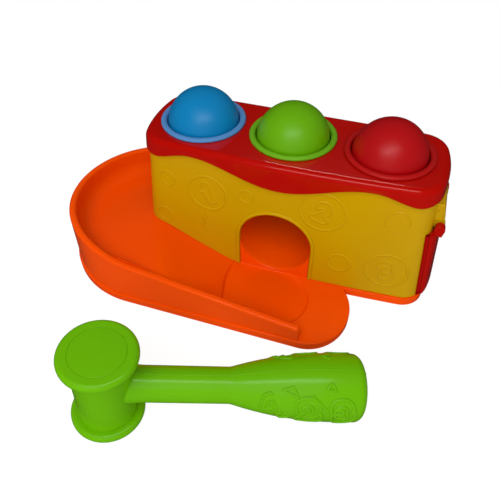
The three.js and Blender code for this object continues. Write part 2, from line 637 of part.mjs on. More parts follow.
function chuteCentre() {
  const axisZ = chuteZ(0) + WAY_RADIUS / Math.cos(CHUTE_SLOPE);
  const lower = new THREE.BoxGeometry(PAST, PAST, PAST).translate(0, 0, -PAST / 2);
  const lowerHalf = solid(lower.rotateX(CHUTE_SLOPE).translate(0, 0, axisZ));
  const inside = block(0, BODY_TOP_Z, -BODY_WALL - FIT);
  const pipe = common(slopedRod(WAY_RADIUS + CHUTE_WALL), lowerHalf, inside, aboveFloor(FIT));
  const faceHalf = WAY_RADIUS - FIT;
  const face = common(box(-faceHalf, faceHalf, -PAST, -BODY_FRONT / 2, 0, ARCH_CENTRE_Z), lowerHalf,
    block(0, BODY_TOP_Z, -CHUTE_RECESS), aboveFloor(FIT));
  const frontFace = cut(face, block(0, BODY_TOP_Z, -2 * BODY_WALL));
  const legs = [-1, 1].map((side) => {
    const middle = (side * BODY_BACK) / 2;
    return box(-BALL_RADIUS, BALL_RADIUS, middle - RAMP_LEG / 2, middle + RAMP_LEG / 2, 0, axisZ);
  });
  const boss = post(CHUTE_SCREW.x, CHUTE_SCREW.y, BOSS_RADIUS, 0, axisZ);
  const stand = cut(common(joined(...legs, boss), aboveFloor(FIT), lowerHalf, inside),
    slopedRod(WAY_RADIUS + CHUTE_WALL / 2));
  return cut(joined(pipe, frontFace, stand), slopedRod(WAY_RADIUS), shankHole(CHUTE_SCREW));
}

// Ramp under an outer hole: a trough that slopes to its end of the block
function ramp(side, way, place) {
  const line = (drop, from = RAMP_START, to = way.end) => [
    [side * from, rampZ(way, from) + drop], [side * to, rampZ(way, to) + drop]];
  const slab = (low, high, near, far, from, to) => {
    const outline = points(...line(low, from, to), ...line(high, from, to).reverse());
    return alongY(side > 0 ? outline : outline.reverse(), near, far);
  };
  const outer = RAMP_HALF_WIDTH + RAMP_SIDE_WALL;
  const plate = slab(-RAMP_PLATE, 0, -outer, outer);
  const sides = [slab(-RAMP_PLATE, RAMP_SIDE_HEIGHT, -outer, -RAMP_HALF_WIDTH),
    slab(-RAMP_PLATE, RAMP_SIDE_HEIGHT, RAMP_HALF_WIDTH, outer)];
  const stop = slab(-RAMP_PLATE, RAMP_STOP_HEIGHT, -outer, outer, RAMP_START, RAMP_START + RAMP_SIDE_WALL);
  const legs = [RAMP_START + RAMP_LEG_INSET, way.end - RAMP_LEG_INSET].map(
    (reach) => slab(-PAST, -RAMP_PLATE / 2, -outer, outer, reach, reach + RAMP_LEG));
  const under = slab(-PAST, -RAMP_PLATE / 2, -outer, outer);
  const boss = common(post(place.x, place.y, BOSS_RADIUS, 0, BLOCK_HEIGHT), under);
  const inside = block(0, BODY_TOP_Z, -BODY_WALL - FIT);
  const whole = common(joined(plate, ...sides, stop, ...legs, boss), aboveFloor(FIT), inside);
  return cut(whole, shankHole(place));
}

// Flap: a shallow red pan that follows the right end, over its way out, hung by two ears on the hinge pin
function endFlap() {
  const foot = APRON_Z + FLAP_FOOT_GAP;
  const cover = (depth, low, high, half) => common(block(low, high, depth + FIT),
    box(HOLE_PITCH, PAST, -half, half, low, high));
  const footX = rightEndX(foot) + FLAP_DEPTH + FIT;
  const topX = rightEndX(FLAP_TOP_Z) + FLAP_DEPTH + FIT;
  const round = arc(footX - FLAP_FOOT_ROUND, foot + FLAP_FOOT_ROUND, FLAP_FOOT_ROUND, -Math.PI / 2, 0,
    CORNER_STEPS);
  const side = [...points([0, FLAP_TOP_Z], [0, foot]), ...round, ...points([topX, FLAP_TOP_Z])];
  const pan = common(cover(FLAP_DEPTH, foot, FLAP_TOP_Z, FLAP_HALF_WIDTH), alongY(side, -PAST, PAST));
  const hollow = cover(FLAP_DEPTH - FLAP_WALL, foot + FLAP_FOOT_ROUND, FLAP_TOP_Z - FLAP_WALL,
    FLAP_HALF_WIDTH - FLAP_WALL);
  const ears = [-1, 1].map((way) => {
    const start = LUG_INSET + LUG_WIDTH + FIT;
    const [near, far] = [way * start, way * (start + EAR_WIDTH)].sort((a, b) => a - b);
    const armFoot = FLAP_TOP_Z - FLAP_WALL;
    const arm = alongY(points([HINGE_X - EAR_RADIUS, HINGE_Z], [topX - 2 * FLAP_DEPTH, armFoot],
      [topX, armFoot], [HINGE_X + EAR_RADIUS, HINGE_Z]), near, far);
    return joined(arm, rodAlongY(HINGE_X, HINGE_Z, EAR_RADIUS, near, far, ROUND_STEPS));
  });
  const pinHole = rodAlongY(HINGE_X, HINGE_Z, HINGE_PIN_DIAMETER / 2 + PIN_FIT, -PAST, PAST);
  return cut(joined(cut(pan, hollow), ...ears), block(0, BODY_TOP_Z, FIT), pinHole);
}

function flapPin() {
  const reach = LUG_INSET + LUG_WIDTH + EAR_WIDTH;
  return rodAlongY(HINGE_X, HINGE_Z, HINGE_PIN_DIAMETER / 2, -reach, reach);
}

// Hammer, drawn with its handle along +X and its head along Z about the origin
function headProfile() {
  const round = HEAD_FLANGE_ROUND;
  const edge = HEAD_RADIUS - round;
  const low = -HEAD_HALF_LENGTH + round;
  const high = -HEAD_HALF_LENGTH + HEAD_FLANGE - round;
  const half = [...arc(edge, low, round, -Math.PI / 2, 0, CORNER_STEPS),
    ...arc(edge, high, round, 0, Math.PI / 2, CORNER_STEPS),
    ...points([BARREL_RADIUS, -HEAD_HALF_LENGTH + HEAD_FLANGE])];
  const mirrored = half.map((p) => new THREE.Vector2(p.x, -p.y)).reverse();
  return [...points([0, -HEAD_HALF_LENGTH]), ...half, ...mirrored, ...points([0, HEAD_HALF_LENGTH])];
}

function handleProfile(inset) {
  const swell = Array.from({ length: 2 * CORNER_STEPS + 1 }, (_, i) => {
    const share = i / (2 * CORNER_STEPS);
    const ease = 1 - (1 - share) ** 2;
    const along = SHAFT_LENGTH + (GRIP_SWELL_END - SHAFT_LENGTH) * share;
    return new THREE.Vector2(SHAFT_RADIUS + (GRIP_RADIUS - SHAFT_RADIUS) * ease - inset, along);
  });
  const round = GRIP_END_ROUND;
  const reach = HAMMER_REACH - inset;
  const end = arc(GRIP_RADIUS - inset - round, reach - round, round, 0, Math.PI / 2, CORNER_STEPS);
  return [...points([0, 0], [SHAFT_RADIUS - inset, 0]), ...swell, ...end, ...points([0, reach])];
}

function handle(inset) {
  return solid(new THREE.LatheGeometry(handleProfile(inset), ROUND_STEPS).rotateZ(-Math.PI / 2));
}

function hammerShell() {
  const bore = post(0, 0, BARREL_RADIUS - HEAD_WALL, -PAST, PAST, ROUND_STEPS);
  const seatZ = HEAD_HALF_LENGTH - FACE_THICKNESS - FIT;
  const seats = [post(0, 0, FACE_RADIUS + FIT, seatZ, PAST, ROUND_STEPS),
    post(0, 0, FACE_RADIUS + FIT, -PAST, -seatZ, ROUND_STEPS)];
  const clearHead = cut(handle(HAMMER_WALL), box(-PAST, 0, -PAST, PAST, -PAST, PAST));
  return cut(joined(turned(headProfile()), handle(0)), bore, clearHead, ...seats);
}

function hammerHalf(side) {
  const gap = HAMMER_SPLIT / 2;
  const [near, far] = [side * gap, side * PAST].sort((a, b) => a - b);
  const half = common(hammerShell(), box(-PAST, PAST, near, far, -PAST, PAST));
  const inWall = (solids) => common(joined(...solids), handle(HAMMER_WALL / 2));
  const pegRadius = PEG_DIAMETER / 2;
  if (side < 0) {
    const pegs = PEG_PLACES.map((x) => rodAlongY(x, 0, pegRadius, -PAST / 2, PEG_REACH));
    return joined(half, inWall(pegs));
  }
  const sockets = PEG_PLACES.map((x) => rodAlongY(x, 0, pegRadius + FIT + PEG_WALL, gap, PAST / 2));
  const bores = PEG_PLACES.map((x) => rodAlongY(x, 0, pegRadius + FIT, 0, PEG_REACH + FIT));
  return cut(joined(half, inWall(sockets)), ...bores);
}

function hammerFace() {
  const foot = HEAD_HALF_LENGTH - FACE_THICKNESS;
  const profile = points([0, foot], [FACE_RADIUS, foot], [FACE_RADIUS, HEAD_HALF_LENGTH - FIT],
    [FACE_RADIUS / 2, HEAD_HALF_LENGTH + FACE_DOME / 2], [0, HEAD_HALF_LENGTH + FACE_DOME]);
  return turned(profile);
}

// The hammer's tilt and height when the rim of its lower face and its grip both lie on the table
function hammerRest() {
  const head = headProfile();
  const grip = handleProfile(0);
  const headDrop = (tilt) => Math.max(...head.map((p) => p.x * Math.sin(tilt) - p.y * Math.cos(tilt)));
  const gripDrop = (tilt) => Math.max(...grip.map((p) => p.y * Math.sin(tilt) + p.x * Math.cos(tilt)));
  let [low, high] = [0, Math.PI / 4];
  for (let i = 0; i < HALVINGS; i += 1) {
    const middle = (low + high) / 2;
    if (headDrop(middle) > gripDrop(middle)) low = middle;
    else high = middle;
  }
  return { tilt: low, height: headDrop(low) };
}

// Materials and assembly
function plastic(color, roughness) {
  return new THREE.MeshStandardMaterial({ color, roughness, metalness: 0 });
}

const ORANGE = 0xe34a0a;
const YELLOW = 0xc89408;
const RED = 0xb01a14;
const BLUE = 0x1a80b4;
const PALE_BLUE = 0x5388bc;
const GREEN = 0x6cac0c;
const STEEL = 0x9a9a9e;

const toy = new THREE.Group();

function add(name, manifold, material, parent = toy) {
  const mesh = new THREE.Mesh(geometryOf(manifold), material);
  mesh.name = name;
  parent.add(mesh);
  return mesh;
}

add('base_tray', baseTray(), plastic(ORANGE, 0.3));
add('body_shell', bodyShell(), plastic(YELLOW, 0.35));
add('top_cap', topCap(), plastic(RED, 0.28));
add('chute_centre', chuteCentre(), plastic(ORANGE, 0.3));
add('ramp_left', ramp(-1, LEFT_RAMP, LEFT_RAMP_SCREW), plastic(ORANGE, 0.3));
add('ramp_right', ramp(1, RIGHT_RAMP, RIGHT_RAMP_SCREW), plastic(ORANGE, 0.3));
add('end_flap', endFlap(), plastic(RED, 0.3));
add('flap_pin', flapPin(), new THREE.MeshStandardMaterial({ color: STEEL, roughness: 0.35, metalness: 1 }));

const STATIONS = [
  { hue: 'blue', x: -HOLE_PITCH, ball: BLUE, collar: PALE_BLUE },
  { hue: 'green', x: 0, ball: GREEN, collar: GREEN },
  { hue: 'red', x: HOLE_PITCH, ball: RED, collar: RED },
];
for (const station of STATIONS) {
  const ring = add(`collar_${station.hue}`, collar(), plastic(station.collar, 0.45));
  ring.position.set(station.x, 0, BLOCK_HEIGHT);
  const sphere = add(`ball_${station.hue}`, ball(), plastic(station.ball, 0.4));
  sphere.position.set(station.x, 0, BALL_CENTRE_Z);
}

for (const place of [...BASE_SCREWS, ...CAP_SCREWS]) {
  const steel = new THREE.MeshStandardMaterial({ color: STEEL, roughness: 0.4, metalness: 1 });
  add(place.name, screw(place), steel).position.set(place.x, place.y, 0);
}

const hammer = new THREE.Group();
const rest = hammerRest();
hammer.rotation.set(0, rest.tilt, HAMMER_YAW, 'ZYX');
hammer.position.set(HAMMER_X, HAMMER_Y, rest.height);
add('hammer_half_front', hammerHalf(-1), plastic(GREEN, 0.45), hammer);
add('hammer_half_back', hammerHalf(1), plastic(GREEN, 0.45), hammer);
add('hammer_face_top', hammerFace(), plastic(GREEN, 0.45), hammer);
add('hammer_face_bottom', hammerFace(), plastic(GREEN, 0.45), hammer).rotation.x = Math.PI;
toy.add(hammer);

export default toy;
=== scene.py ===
# A ball pounding toy in moulded plastic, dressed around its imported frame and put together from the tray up.
from math import acos, asin, atan2, cos, degrees, exp, pi, radians, sin, sqrt, tan

import bmesh
import bpy
import numpy as np
from mathutils import Matrix, Vector
from mathutils.geometry import delaunay_2d_cdt


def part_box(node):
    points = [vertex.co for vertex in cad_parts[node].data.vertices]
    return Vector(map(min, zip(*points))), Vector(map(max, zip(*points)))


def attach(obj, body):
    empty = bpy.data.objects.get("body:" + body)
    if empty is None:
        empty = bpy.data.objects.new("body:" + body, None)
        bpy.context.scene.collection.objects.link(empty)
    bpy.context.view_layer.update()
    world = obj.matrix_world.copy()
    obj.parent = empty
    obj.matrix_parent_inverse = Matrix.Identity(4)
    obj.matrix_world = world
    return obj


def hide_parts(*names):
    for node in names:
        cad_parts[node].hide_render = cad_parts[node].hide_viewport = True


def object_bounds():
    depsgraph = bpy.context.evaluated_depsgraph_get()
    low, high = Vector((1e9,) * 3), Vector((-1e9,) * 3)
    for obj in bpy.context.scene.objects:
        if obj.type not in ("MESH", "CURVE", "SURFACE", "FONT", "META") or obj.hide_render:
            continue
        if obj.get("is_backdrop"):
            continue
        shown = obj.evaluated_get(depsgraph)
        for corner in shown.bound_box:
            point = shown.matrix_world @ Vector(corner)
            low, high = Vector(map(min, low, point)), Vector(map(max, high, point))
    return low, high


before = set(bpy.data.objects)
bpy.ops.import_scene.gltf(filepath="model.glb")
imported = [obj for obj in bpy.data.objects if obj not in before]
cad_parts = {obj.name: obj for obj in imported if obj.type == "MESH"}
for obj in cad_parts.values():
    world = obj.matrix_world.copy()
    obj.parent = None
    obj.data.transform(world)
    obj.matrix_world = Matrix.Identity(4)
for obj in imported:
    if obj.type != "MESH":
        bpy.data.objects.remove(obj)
cad_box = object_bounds()

# Tray
# One orange injection moulding: a round pool, a sloping track, a level apron with a shallow dish before
# the arch, and the plinth under the block. It is glossy, open below, and stiffened there by ribs.
MM = 0.001
BODY_TOP = 94.9
BODY_HALF = 94.8
BODY_FRONT = 33.4
BODY_BACK = 29.3
BODY_BOW = 4.5
BODY_CORNER = 14.5
END_DRAFT, FRONT_DRAFT, BACK_DRAFT = (tan(radians(lean)) for lean in (5.7, 1.3, 0.7))
BLOCK_SHIFT = 1.0
END_RADIUS = 87.626
APRON_Z = 6.2
PLATEAU_Z = 27.5
POOL = np.array((-90.2, -25.3))
POOL_RADIUS = 64.2
DISH = np.array((6.0, -58.5))
DISH_RADIUS = 24.5
DISH_LENGTH = 35.0
DISH_SLANT = 0.24
DISH_BEND = 0.0094
DISH_DEPTH = 1.4
DISH_EDGE = 0.25


def block_bow(z):
    """Half length, bow radius and bow centre of the block's front at a height."""
    half = BODY_HALF + (BODY_TOP - z) * END_DRAFT
    radius = (half ** 2 + BODY_BOW ** 2) / (2 * BODY_BOW)
    return half, radius, radius - BODY_FRONT - (BODY_TOP - z) * FRONT_DRAFT


def front_y(x, z):
    _, radius, centre = block_bow(z)
    return centre - np.sqrt(radius ** 2 - (np.asarray(x, float) - BLOCK_SHIFT) ** 2)


def arc(centre, radius, start, end, steps):
    """Points of an arc in degrees, both ends included."""
    turn = np.radians(np.linspace(start, end, steps + 1))
    return np.column_stack((centre[0] + radius * np.cos(turn), centre[1] + radius * np.sin(turn)))


def circle(centre, radius, steps):
    """Points of a full circle, without the first one again."""
    return arc(centre, radius, 0, 360, steps)[:-1]


def crossing(first, first_radius, second, second_radius):
    """Where two circles cross, on the left of the way from the first to the second."""
    first, way = np.asarray(first, float), np.subtract(second, first)
    length = np.linalg.norm(way)
    along = (first_radius ** 2 - second_radius ** 2 + length ** 2) / (2 * length)
    way = way / length
    return first + way * along + np.array((-way[1], way[0])) * sqrt(first_radius ** 2 - along ** 2)


def block_outline(z, offset=0.0, steps=48, corner_steps=12):
    """The block seen from above at a height, grown outwards: bowed front and ends, straight back."""
    half, radius, centre = block_bow(z)
    end, reach = half - END_RADIUS, END_RADIUS - BODY_CORNER
    near = crossing((0, centre), radius - BODY_CORNER, (end, 0), reach)
    far_y = BODY_BACK + (BODY_TOP - z) * BACK_DRAFT - BODY_CORNER
    far = np.array((end + sqrt(reach ** 2 - far_y ** 2), far_y))
    lean = degrees(atan2(near[1] - centre, near[0]))
    turns = [degrees(atan2(p[1], p[0] - end)) for p in (near, far)]
    corner = BODY_CORNER + offset
    right = np.vstack((arc((0, centre), radius + offset, -90, lean, steps),
                       arc(near, corner, lean, turns[0], corner_steps)[1:],
                       arc((end, 0), END_RADIUS + offset, *turns, corner_steps)[1:],
                       arc(far, corner, turns[1], 90, corner_steps)[1:]))
    back = np.linspace(right[-1], (0, right[-1, 1]), 34)[1:-1]
    right = np.vstack((right, back))
    return np.vstack((right, right[:0:-1] * (-1, 1))) + (BLOCK_SHIFT, 0)


RAMP_BACK = -38.0
RAMP_DEPTH = 52.0
CREASES = ((-87, 31, 2.6), (-31, 9, 1.4))


def floor_height(x, y):
    """The tray's floor: a plateau, a ramp that is shorter towards the front, and the apron; soft creases."""
    share = np.clip((RAMP_BACK - np.asarray(y, float)) / RAMP_DEPTH, 0, 1)
    creases = [(back + shift * share, soft) for back, shift, soft in CREASES]
    slope = (PLATEAU_Z - APRON_Z) / (creases[1][0] - creases[0][0])
    upper, lower = (soft * np.logaddexp(0, (x - crease) / soft) for crease, soft in creases)
    return PLATEAU_Z - slope * (upper - lower)


def dish_left(across):
    """The dish's left edge, which slants and bends away at its back."""
    return -DISH_LENGTH - DISH_SLANT * across + DISH_BEND * np.maximum(across, 0) ** 2


def dish_edge(x, y):
    """How far a point lies outside the dish before the arch, which has a round end at its right."""
    along, across = np.asarray(x - DISH[0]), np.abs(y - DISH[1])
    body = np.hypot(np.maximum(along, 0), across) - DISH_RADIUS
    return np.maximum(body, dish_left(y - DISH[1]) - along)


def dished(x, y):
    """The floor with the dish pressed into it."""
    z = floor_height(x, y)
    away = dish_edge(x, y)
    return z + (np.minimum(z, APRON_Z) - DISH_DEPTH - z) / (1 + np.exp(np.clip(away / DISH_EDGE, -40, 40)))


POOL_RIM = 45.5
RIM_FALL = ((-142.2, -108.2, -90.2, 32.0), (POOL_RIM, 40.5, 35.0, 16.6))
FALL_START = POOL[1] - 2.8
FALL_EASE = 9.0


def rim_height(x, y):
    """The top of the tray's wall: level behind and at the left, falling to the right in front."""
    if y > FALL_START:
        return POOL_RIM
    nearby = x + np.linspace(-FALL_EASE, FALL_EASE, 7)
    return np.mean(np.interp(nearby, *RIM_FALL))


def filled(loop, spacing=None, extra=(), holes=()):
    """Triangles over the inside of a flat outline, with a grid of points to follow a curved height."""
    rings = [np.asarray(ring, float) for ring in (loop, *holes)]
    points = [tuple(p) for ring in rings for p in ring]
    edges, start = [], 0
    for ring in rings:
        edges += [(start + i, start + (i + 1) % len(ring)) for i in range(len(ring))]
        start += len(ring)
    if spacing:
        low, high = rings[0].min(0), rings[0].max(0)
        xs, ys = (np.arange(low[i] + spacing / 2, high[i], spacing) for i in (0, 1))
        grid = np.array(np.meshgrid(xs, ys)).reshape(2, -1).T
        points += [tuple(p) for p in np.vstack((grid, *extra)) if clear_of(p, rings[0], spacing / 3)]
    flat = [Vector(p) for p in points]
    corners, _, faces, *_ = delaunay_2d_cdt(flat, edges, [], 1, 1e-7)
    corners = np.array([tuple(c) for c in corners])
    kept = [f for f in faces if not any(clear_of(corners[list(f)].mean(0), hole, 0) for hole in rings[1:])]
    return corners, kept


def clear_of(point, ring, margin):
    """Whether a point lies inside a ring and not within a margin of it."""
    x, y = ring[:, 0], ring[:, 1]
    nx, ny = np.roll(x, -1), np.roll(y, -1)
    spans = (y > point[1]) != (ny > point[1])
    with np.errstate(divide="ignore", invalid="ignore"):
        crossing = (nx - x) * (point[1] - y) / (ny - y) + x
    inside = np.count_nonzero(spans & (point[0] < crossing)) % 2 == 1
    return inside and np.min(np.hypot(x - point[0], y - point[1])) > margin


def band(rows, closed=True):
    """Quads between neighbouring rows of points, each row a section; the rows may close on themselves."""
    rows = np.asarray(rows, float)
    count, across = rows.shape[:2]
    faces = []
    for i in range(count if closed else count - 1):
        a, b = i * across, ((i + 1) % count) * across
        faces += [(a + k, b + k, b + k + 1, a + k + 1) for k in range(across - 1)]
    return rows.reshape(-1, 3), faces


def shown(thing):
    """Puts an object into the scene."""
    bpy.context.scene.collection.objects.link(thing)
    return thing


def smoothed(piece, below):
    """Shades a piece smooth, apart from edges that bend more than an angle in degrees."""
    piece.data.shade_smooth()
    piece.data.set_sharp_from_angle(angle=radians(below))
    return piece


def moulding(name, parts, material, smooth_below=35.0):
    """One object from point and face lists in millimetres, merged, facing outwards and shaded smooth."""
    made = bmesh.new()
    for points, faces in parts:
        corners = [made.verts.new(Vector(p) * MM) for p in points]
        for face in faces:
            ring = [corners[i] for i in face]
            if len(set(ring)) > 2:
                made.faces.new(ring)
    bmesh.ops.remove_doubles(made, verts=made.verts, dist=2e-6)
    bmesh.ops.dissolve_degenerate(made, edges=made.edges, dist=1e-6)
    bmesh.ops.recalc_face_normals(made, faces=made.faces)
    mesh = bpy.data.meshes.new(name)
    made.to_mesh(mesh)
    made.free()
    mesh.materials.append(material)
    return smoothed(shown(bpy.data.objects.new(name, mesh)), smooth_below)


def even_shading(piece):
    """Lets the large faces of a piece set the shading of the small ones beside them."""
    weights = piece.modifiers.new("even_shading", "WEIGHTED_NORMAL")
    weights.keep_sharp = True
    weights.weight = 70
    return piece


class Wire:
    """A socket of a material's nodes; arithmetic on it adds Math nodes."""

    def __init__(self, socket):
        self.socket = socket
        self.tree = socket.id_data

    @classmethod
    def of(cls, tree, kind, settings=None, inputs=None, output=0):
        node = tree.nodes.new(kind)
        for name, value in (settings or {}).items():
            setattr(node, name, value)
        for name, value in (inputs or {}).items():
            socket = node.inputs[name]
            if isinstance(value, Wire):
                tree.links.new(value.socket, socket)
            elif isinstance(value, tuple) and len(value) == 3 and socket.type == "RGBA":
                socket.default_value = (*value, 1)
            else:
                socket.default_value = value
        return cls(node.outputs[output])

    def math(self, operation, first, second):
        return Wire.of(self.tree, "ShaderNodeMath", {"operation": operation}, {0: first, 1: second})

    def __add__(self, other):
        return self.math("ADD", self, other)

    def __radd__(self, other):
        return self.math("ADD", other, self)

    def __rmul__(self, other):
        return self.math("MULTIPLY", other, self)


def linear(red, green, blue):
    """A colour written as it shows on a screen, in the light's own measure."""
    shares = [v / 255 for v in (red, green, blue)]
    return tuple(v / 12.92 if v <= 0.04045 else ((v + 0.055) / 1.055) ** 2.4 for v in shares)


def principled(name):
    """A new material with its nodes and its shader."""
    material = bpy.data.materials.new(name)
    material.use_nodes = True
    return material, material.node_tree, material.node_tree.nodes["Principled BSDF"]


def noise(place, scale, detail):
    return Wire.of(place.tree, "ShaderNodeTexNoise", {}, {"Vector": place, "Scale": scale, "Detail": detail})


def moulded_plastic(name, colour, flow_colour, gloss, scuff=0.1, texture=0.0, coat=0.0, mirror=0.2):
    """Coloured plastic with faint flow marks, rubbed patches in its gloss and a fine mould texture."""
    material, tree, shader = principled(name)
    place = Wire.of(tree, "ShaderNodeTexCoord", output="Object")
    flow = noise(place, 26.0, 3.0)
    rubbed = noise(place, 95.0, 5.0)
    peel = noise(place, 420.0, 2.0)
    grain = noise(place, 2600.0, 2.0)
    tint = Wire.of(tree, "ShaderNodeMix", {"data_type": "RGBA"}, {0: flow, 6: colour, 7: flow_colour}, 2)
    tree.links.new(tint.socket, shader.inputs["Base Color"])
    rough = gloss - scuff / 2 + scuff * rubbed
    tree.links.new(rough.socket, shader.inputs["Roughness"])
    relief = Wire.of(tree, "ShaderNodeBump", {}, {"Strength": 0.25, "Distance": 0.0002,
                                                  "Height": peel + texture * grain})
    tree.links.new(relief.socket, shader.inputs["Normal"])
    shader.inputs["Coat Weight"].default_value = coat
    shader.inputs["Coat Roughness"].default_value = 0.04
    shader.inputs["IOR"].default_value = 1.5
    shader.inputs["Specular IOR Level"].default_value = mirror
    return material


orange = moulded_plastic("orange_gloss", linear(250, 81, 0), linear(243, 75, 0), 0.24, 0.12,
                         coat=0.4, mirror=0.08)

FLANGE = 6.0
RIM = 4.8
SKIRT = 5.4
SILL = 12.3
CHAMFER = 0.3
WALL_FOOT = 1.2
WALL_DRAFT = 0.03
POOL_FILLET, TRACK_FILLET, BACK_FILLET, PLINTH_FILLET = 9.0, 4.0, 0.6, 0.3
FLOOR_WALL = 3.0
RIM_END = 30.5
RIM_ROUND = 1.5
APRON_BEND = np.array((27.4, 31.2))
BEND_TURNS = (-87, 43)
APRON_CORNER = 51.1
PLINTH_START = 52.5
PLINTH_LEDGE = 1.5
PLINTH_BACK = 31.88
BACK_LEFT = -59.0


def tray_path():
    """The tray's outer edge from above, anticlockwise, with each point's stretch and share of wall."""
    meet = degrees(asin((PLINTH_BACK - POOL[1]) / POOL_RADIUS))
    near = POOL[1] - POOL_RADIUS
    pool = arc(POOL, POOL_RADIUS, meet, 270, 130)
    track = np.column_stack((np.linspace(POOL[0], RIM_END - 1, 50)[1:], np.full(49, near)))
    rounding = RIM_ROUND * np.sin(np.radians(np.linspace(0, 90, 7)))
    rim_end = np.column_stack((RIM_END + rounding, np.full(7, near)))
    bend = arc((0, 0), 1.0, *BEND_TURNS, 36) * APRON_BEND + (RIM_END + RIM_ROUND, near + APRON_BEND[1])
    corner = np.array([(APRON_CORNER, float(front_y(APRON_CORNER, APRON_Z)) - PLINTH_LEDGE)])
    plinth = block_outline(APRON_Z, PLINTH_LEDGE)
    plinth = plinth[:len(plinth) // 2]
    plinth = plinth[plinth[:, 0] > PLINTH_START]
    back = np.column_stack((np.linspace(plinth[-1, 0] - 2, BACK_LEFT, 60), np.full(60, PLINTH_BACK)))
    stretches = [pool, track, rim_end, bend, corner, plinth, back]
    names = ("pool", "track", "rim_end", "bend", "corner", "plinth", "back")
    stretch = np.concatenate([[name] * len(part) for name, part in zip(names, stretches)])
    ease = np.sqrt(np.clip(1 - ((rim_end[:, 0] - RIM_END) / RIM_ROUND) ** 2, 0, 1))
    share = np.where(np.isin(stretch, ("pool", "track")), 1.0, 0.0)
    share[stretch == "rim_end"] = ease
    return np.vstack(stretches), stretch, share


def inward(path):
    """Unit steps to the inside of a closed anticlockwise path, lengthened at its corners."""
    before, after = path - np.roll(path, 1, 0), np.roll(path, -1, 0) - path
    across = [np.column_stack((-step[:, 1], step[:, 0])) for step in (before, after)]
    normals = [step / np.linalg.norm(step, axis=1)[:, None] for step in across]
    middle = normals[0] + normals[1]
    middle /= np.linalg.norm(middle, axis=1)[:, None]
    return middle / np.clip(np.sum(middle * normals[0], 1), 0.5, 1)[:, None]


def tray_sections():
    """The upper and lower sections of the tray's edge at every point of its path."""
    path, stretch, wall = tray_path()
    quarter = np.radians(np.linspace(0, 90, 7))
    upper, lower = [], []
    for point, inner, kind, share in zip(path, inward(path), stretch, wall):
        def ground(inset):
            return float(floor_height(*(point + inner * inset)))
        rim = float(rim_height(*point))
        foot, outer = WALL_FOOT, WALL_FOOT + WALL_DRAFT * (rim - FLANGE)
        far, fillet = outer + RIM, np.interp(point[0], (-92, -70), (POOL_FILLET, TRACK_FILLET))
        if kind == "pool" and point[0] > POOL[0] and point[1] > 0:
            room = (point[1] - PLINTH_BACK) / -inner[1]
            share = float(np.clip((room - outer) / 1.5, 0, 1))
            foot, outer = min(foot, room), min(outer, room)
            far, fillet = min(far, max(room, outer)), PLINTH_FILLET
        elif kind == "pool" and point[1] > 0:
            fillet = np.interp(point[0], (-135, -100), (POOL_FILLET, BACK_FILLET))
        flange = FLANGE if kind in ("pool", "track", "rim_end") else ground(foot)
        end = far + fillet + 1.5 if kind in ("pool", "track") else SILL
        floor = ground(far)
        rim = max(floor + share * (rim - floor), flange)
        size = min(1.0, (rim - floor) / 5)
        edge, turn, fillet = min(1.0, 0.8 * foot), min(1.9 * size, (far - outer) / 2), fillet * size
        section = [(CHAMFER, 0.0), (0.0, CHAMFER)]
        section += [(edge * (1 - cos(a)), flange - edge * (1 - sin(a))) for a in quarter]
        section += [(foot, flange), (foot + 0.1, flange + min(0.4, 0.2 * (rim - flange)))]
        section += [(outer + turn * (1 - cos(a)), rim - turn * (1 - sin(a))) for a in quarter]
        section += [(far - turn * (1 - sin(a)), rim - turn * (1 - cos(a))) for a in quarter]
        bed = [(far + fillet * (1 - cos(a)), fillet * (1 - sin(a))) for a in quarter]
        section += [(inset, ground(inset) + rise) for inset, rise in bed]
        section.append((end, ground(end)))
        upper.append([(*(point + inner * inset), z) for inset, z in section])
        under = ground(SKIRT) - FLOOR_WALL
        skirt = ((CHAMFER, 0.0), (SKIRT, 0.0), (SKIRT, under))
        lower.append([(*(point + inner * inset), z) for inset, z in skirt])
    return np.array(upper), np.array(lower)


def tray_parts():
    upper, lower = tray_sections()
    steps = (-1.2, -0.7, -0.35, 0, 0.35, 0.7, 1.2)
    around = [arc(DISH, DISH_RADIUS + d, -90, 90, 60) for d in steps]
    ys = np.linspace(-DISH_RADIUS, DISH_RADIUS, 70)
    around += [np.column_stack((DISH[0] + dish_left(ys) - d, DISH[1] + ys)) for d in steps]
    around += [np.column_stack((np.linspace(DISH[0] - DISH_LENGTH, DISH[0], 60), np.full(60, DISH[1] + side)))
               for d in steps for side in (DISH_RADIUS + d, -DISH_RADIUS - d)]
    top, top_faces = filled(upper[:, -1, :2], spacing=3.0, extra=around)
    edge = {tuple(np.round(p[:2], 5)): p[2] for p in upper[:, -1]}
    heights = dished(top[:, 0], top[:, 1])
    heights = [edge.get(tuple(np.round(p, 5)), z) for p, z in zip(top, heights)]
    base, base_faces = filled(lower[:, -1, :2], spacing=6.0)
    under = {tuple(np.round(p[:2], 5)): p[2] for p in lower[:, -1]}
    depths = floor_height(base[:, 0], base[:, 1]) - FLOOR_WALL
    depths = [under.get(tuple(np.round(p, 5)), z) for p, z in zip(base, depths)]
    return [band(upper), band(lower), (np.column_stack((top, heights)), top_faces),
            (np.column_stack((base, depths)), base_faces)]


def tube(rings):
    """A closed bar over closed rings of points, with flat ends."""
    rings = np.asarray(rings, float)
    count = rings.shape[1]
    points, faces = band(np.concatenate((rings, rings[:, :1]), 1), closed=False)
    return [(points, faces), (rings[0], [tuple(range(count))]), (rings[-1], [tuple(range(count))])]


def level(flat, z):
    """Flat points raised to one height."""
    return np.column_stack((flat, np.full(len(flat), z)))


def post(x, y, radius, low, high, steps=24):
    return tube([level(circle((x, y), radius, steps), z) for z in (low, high)])


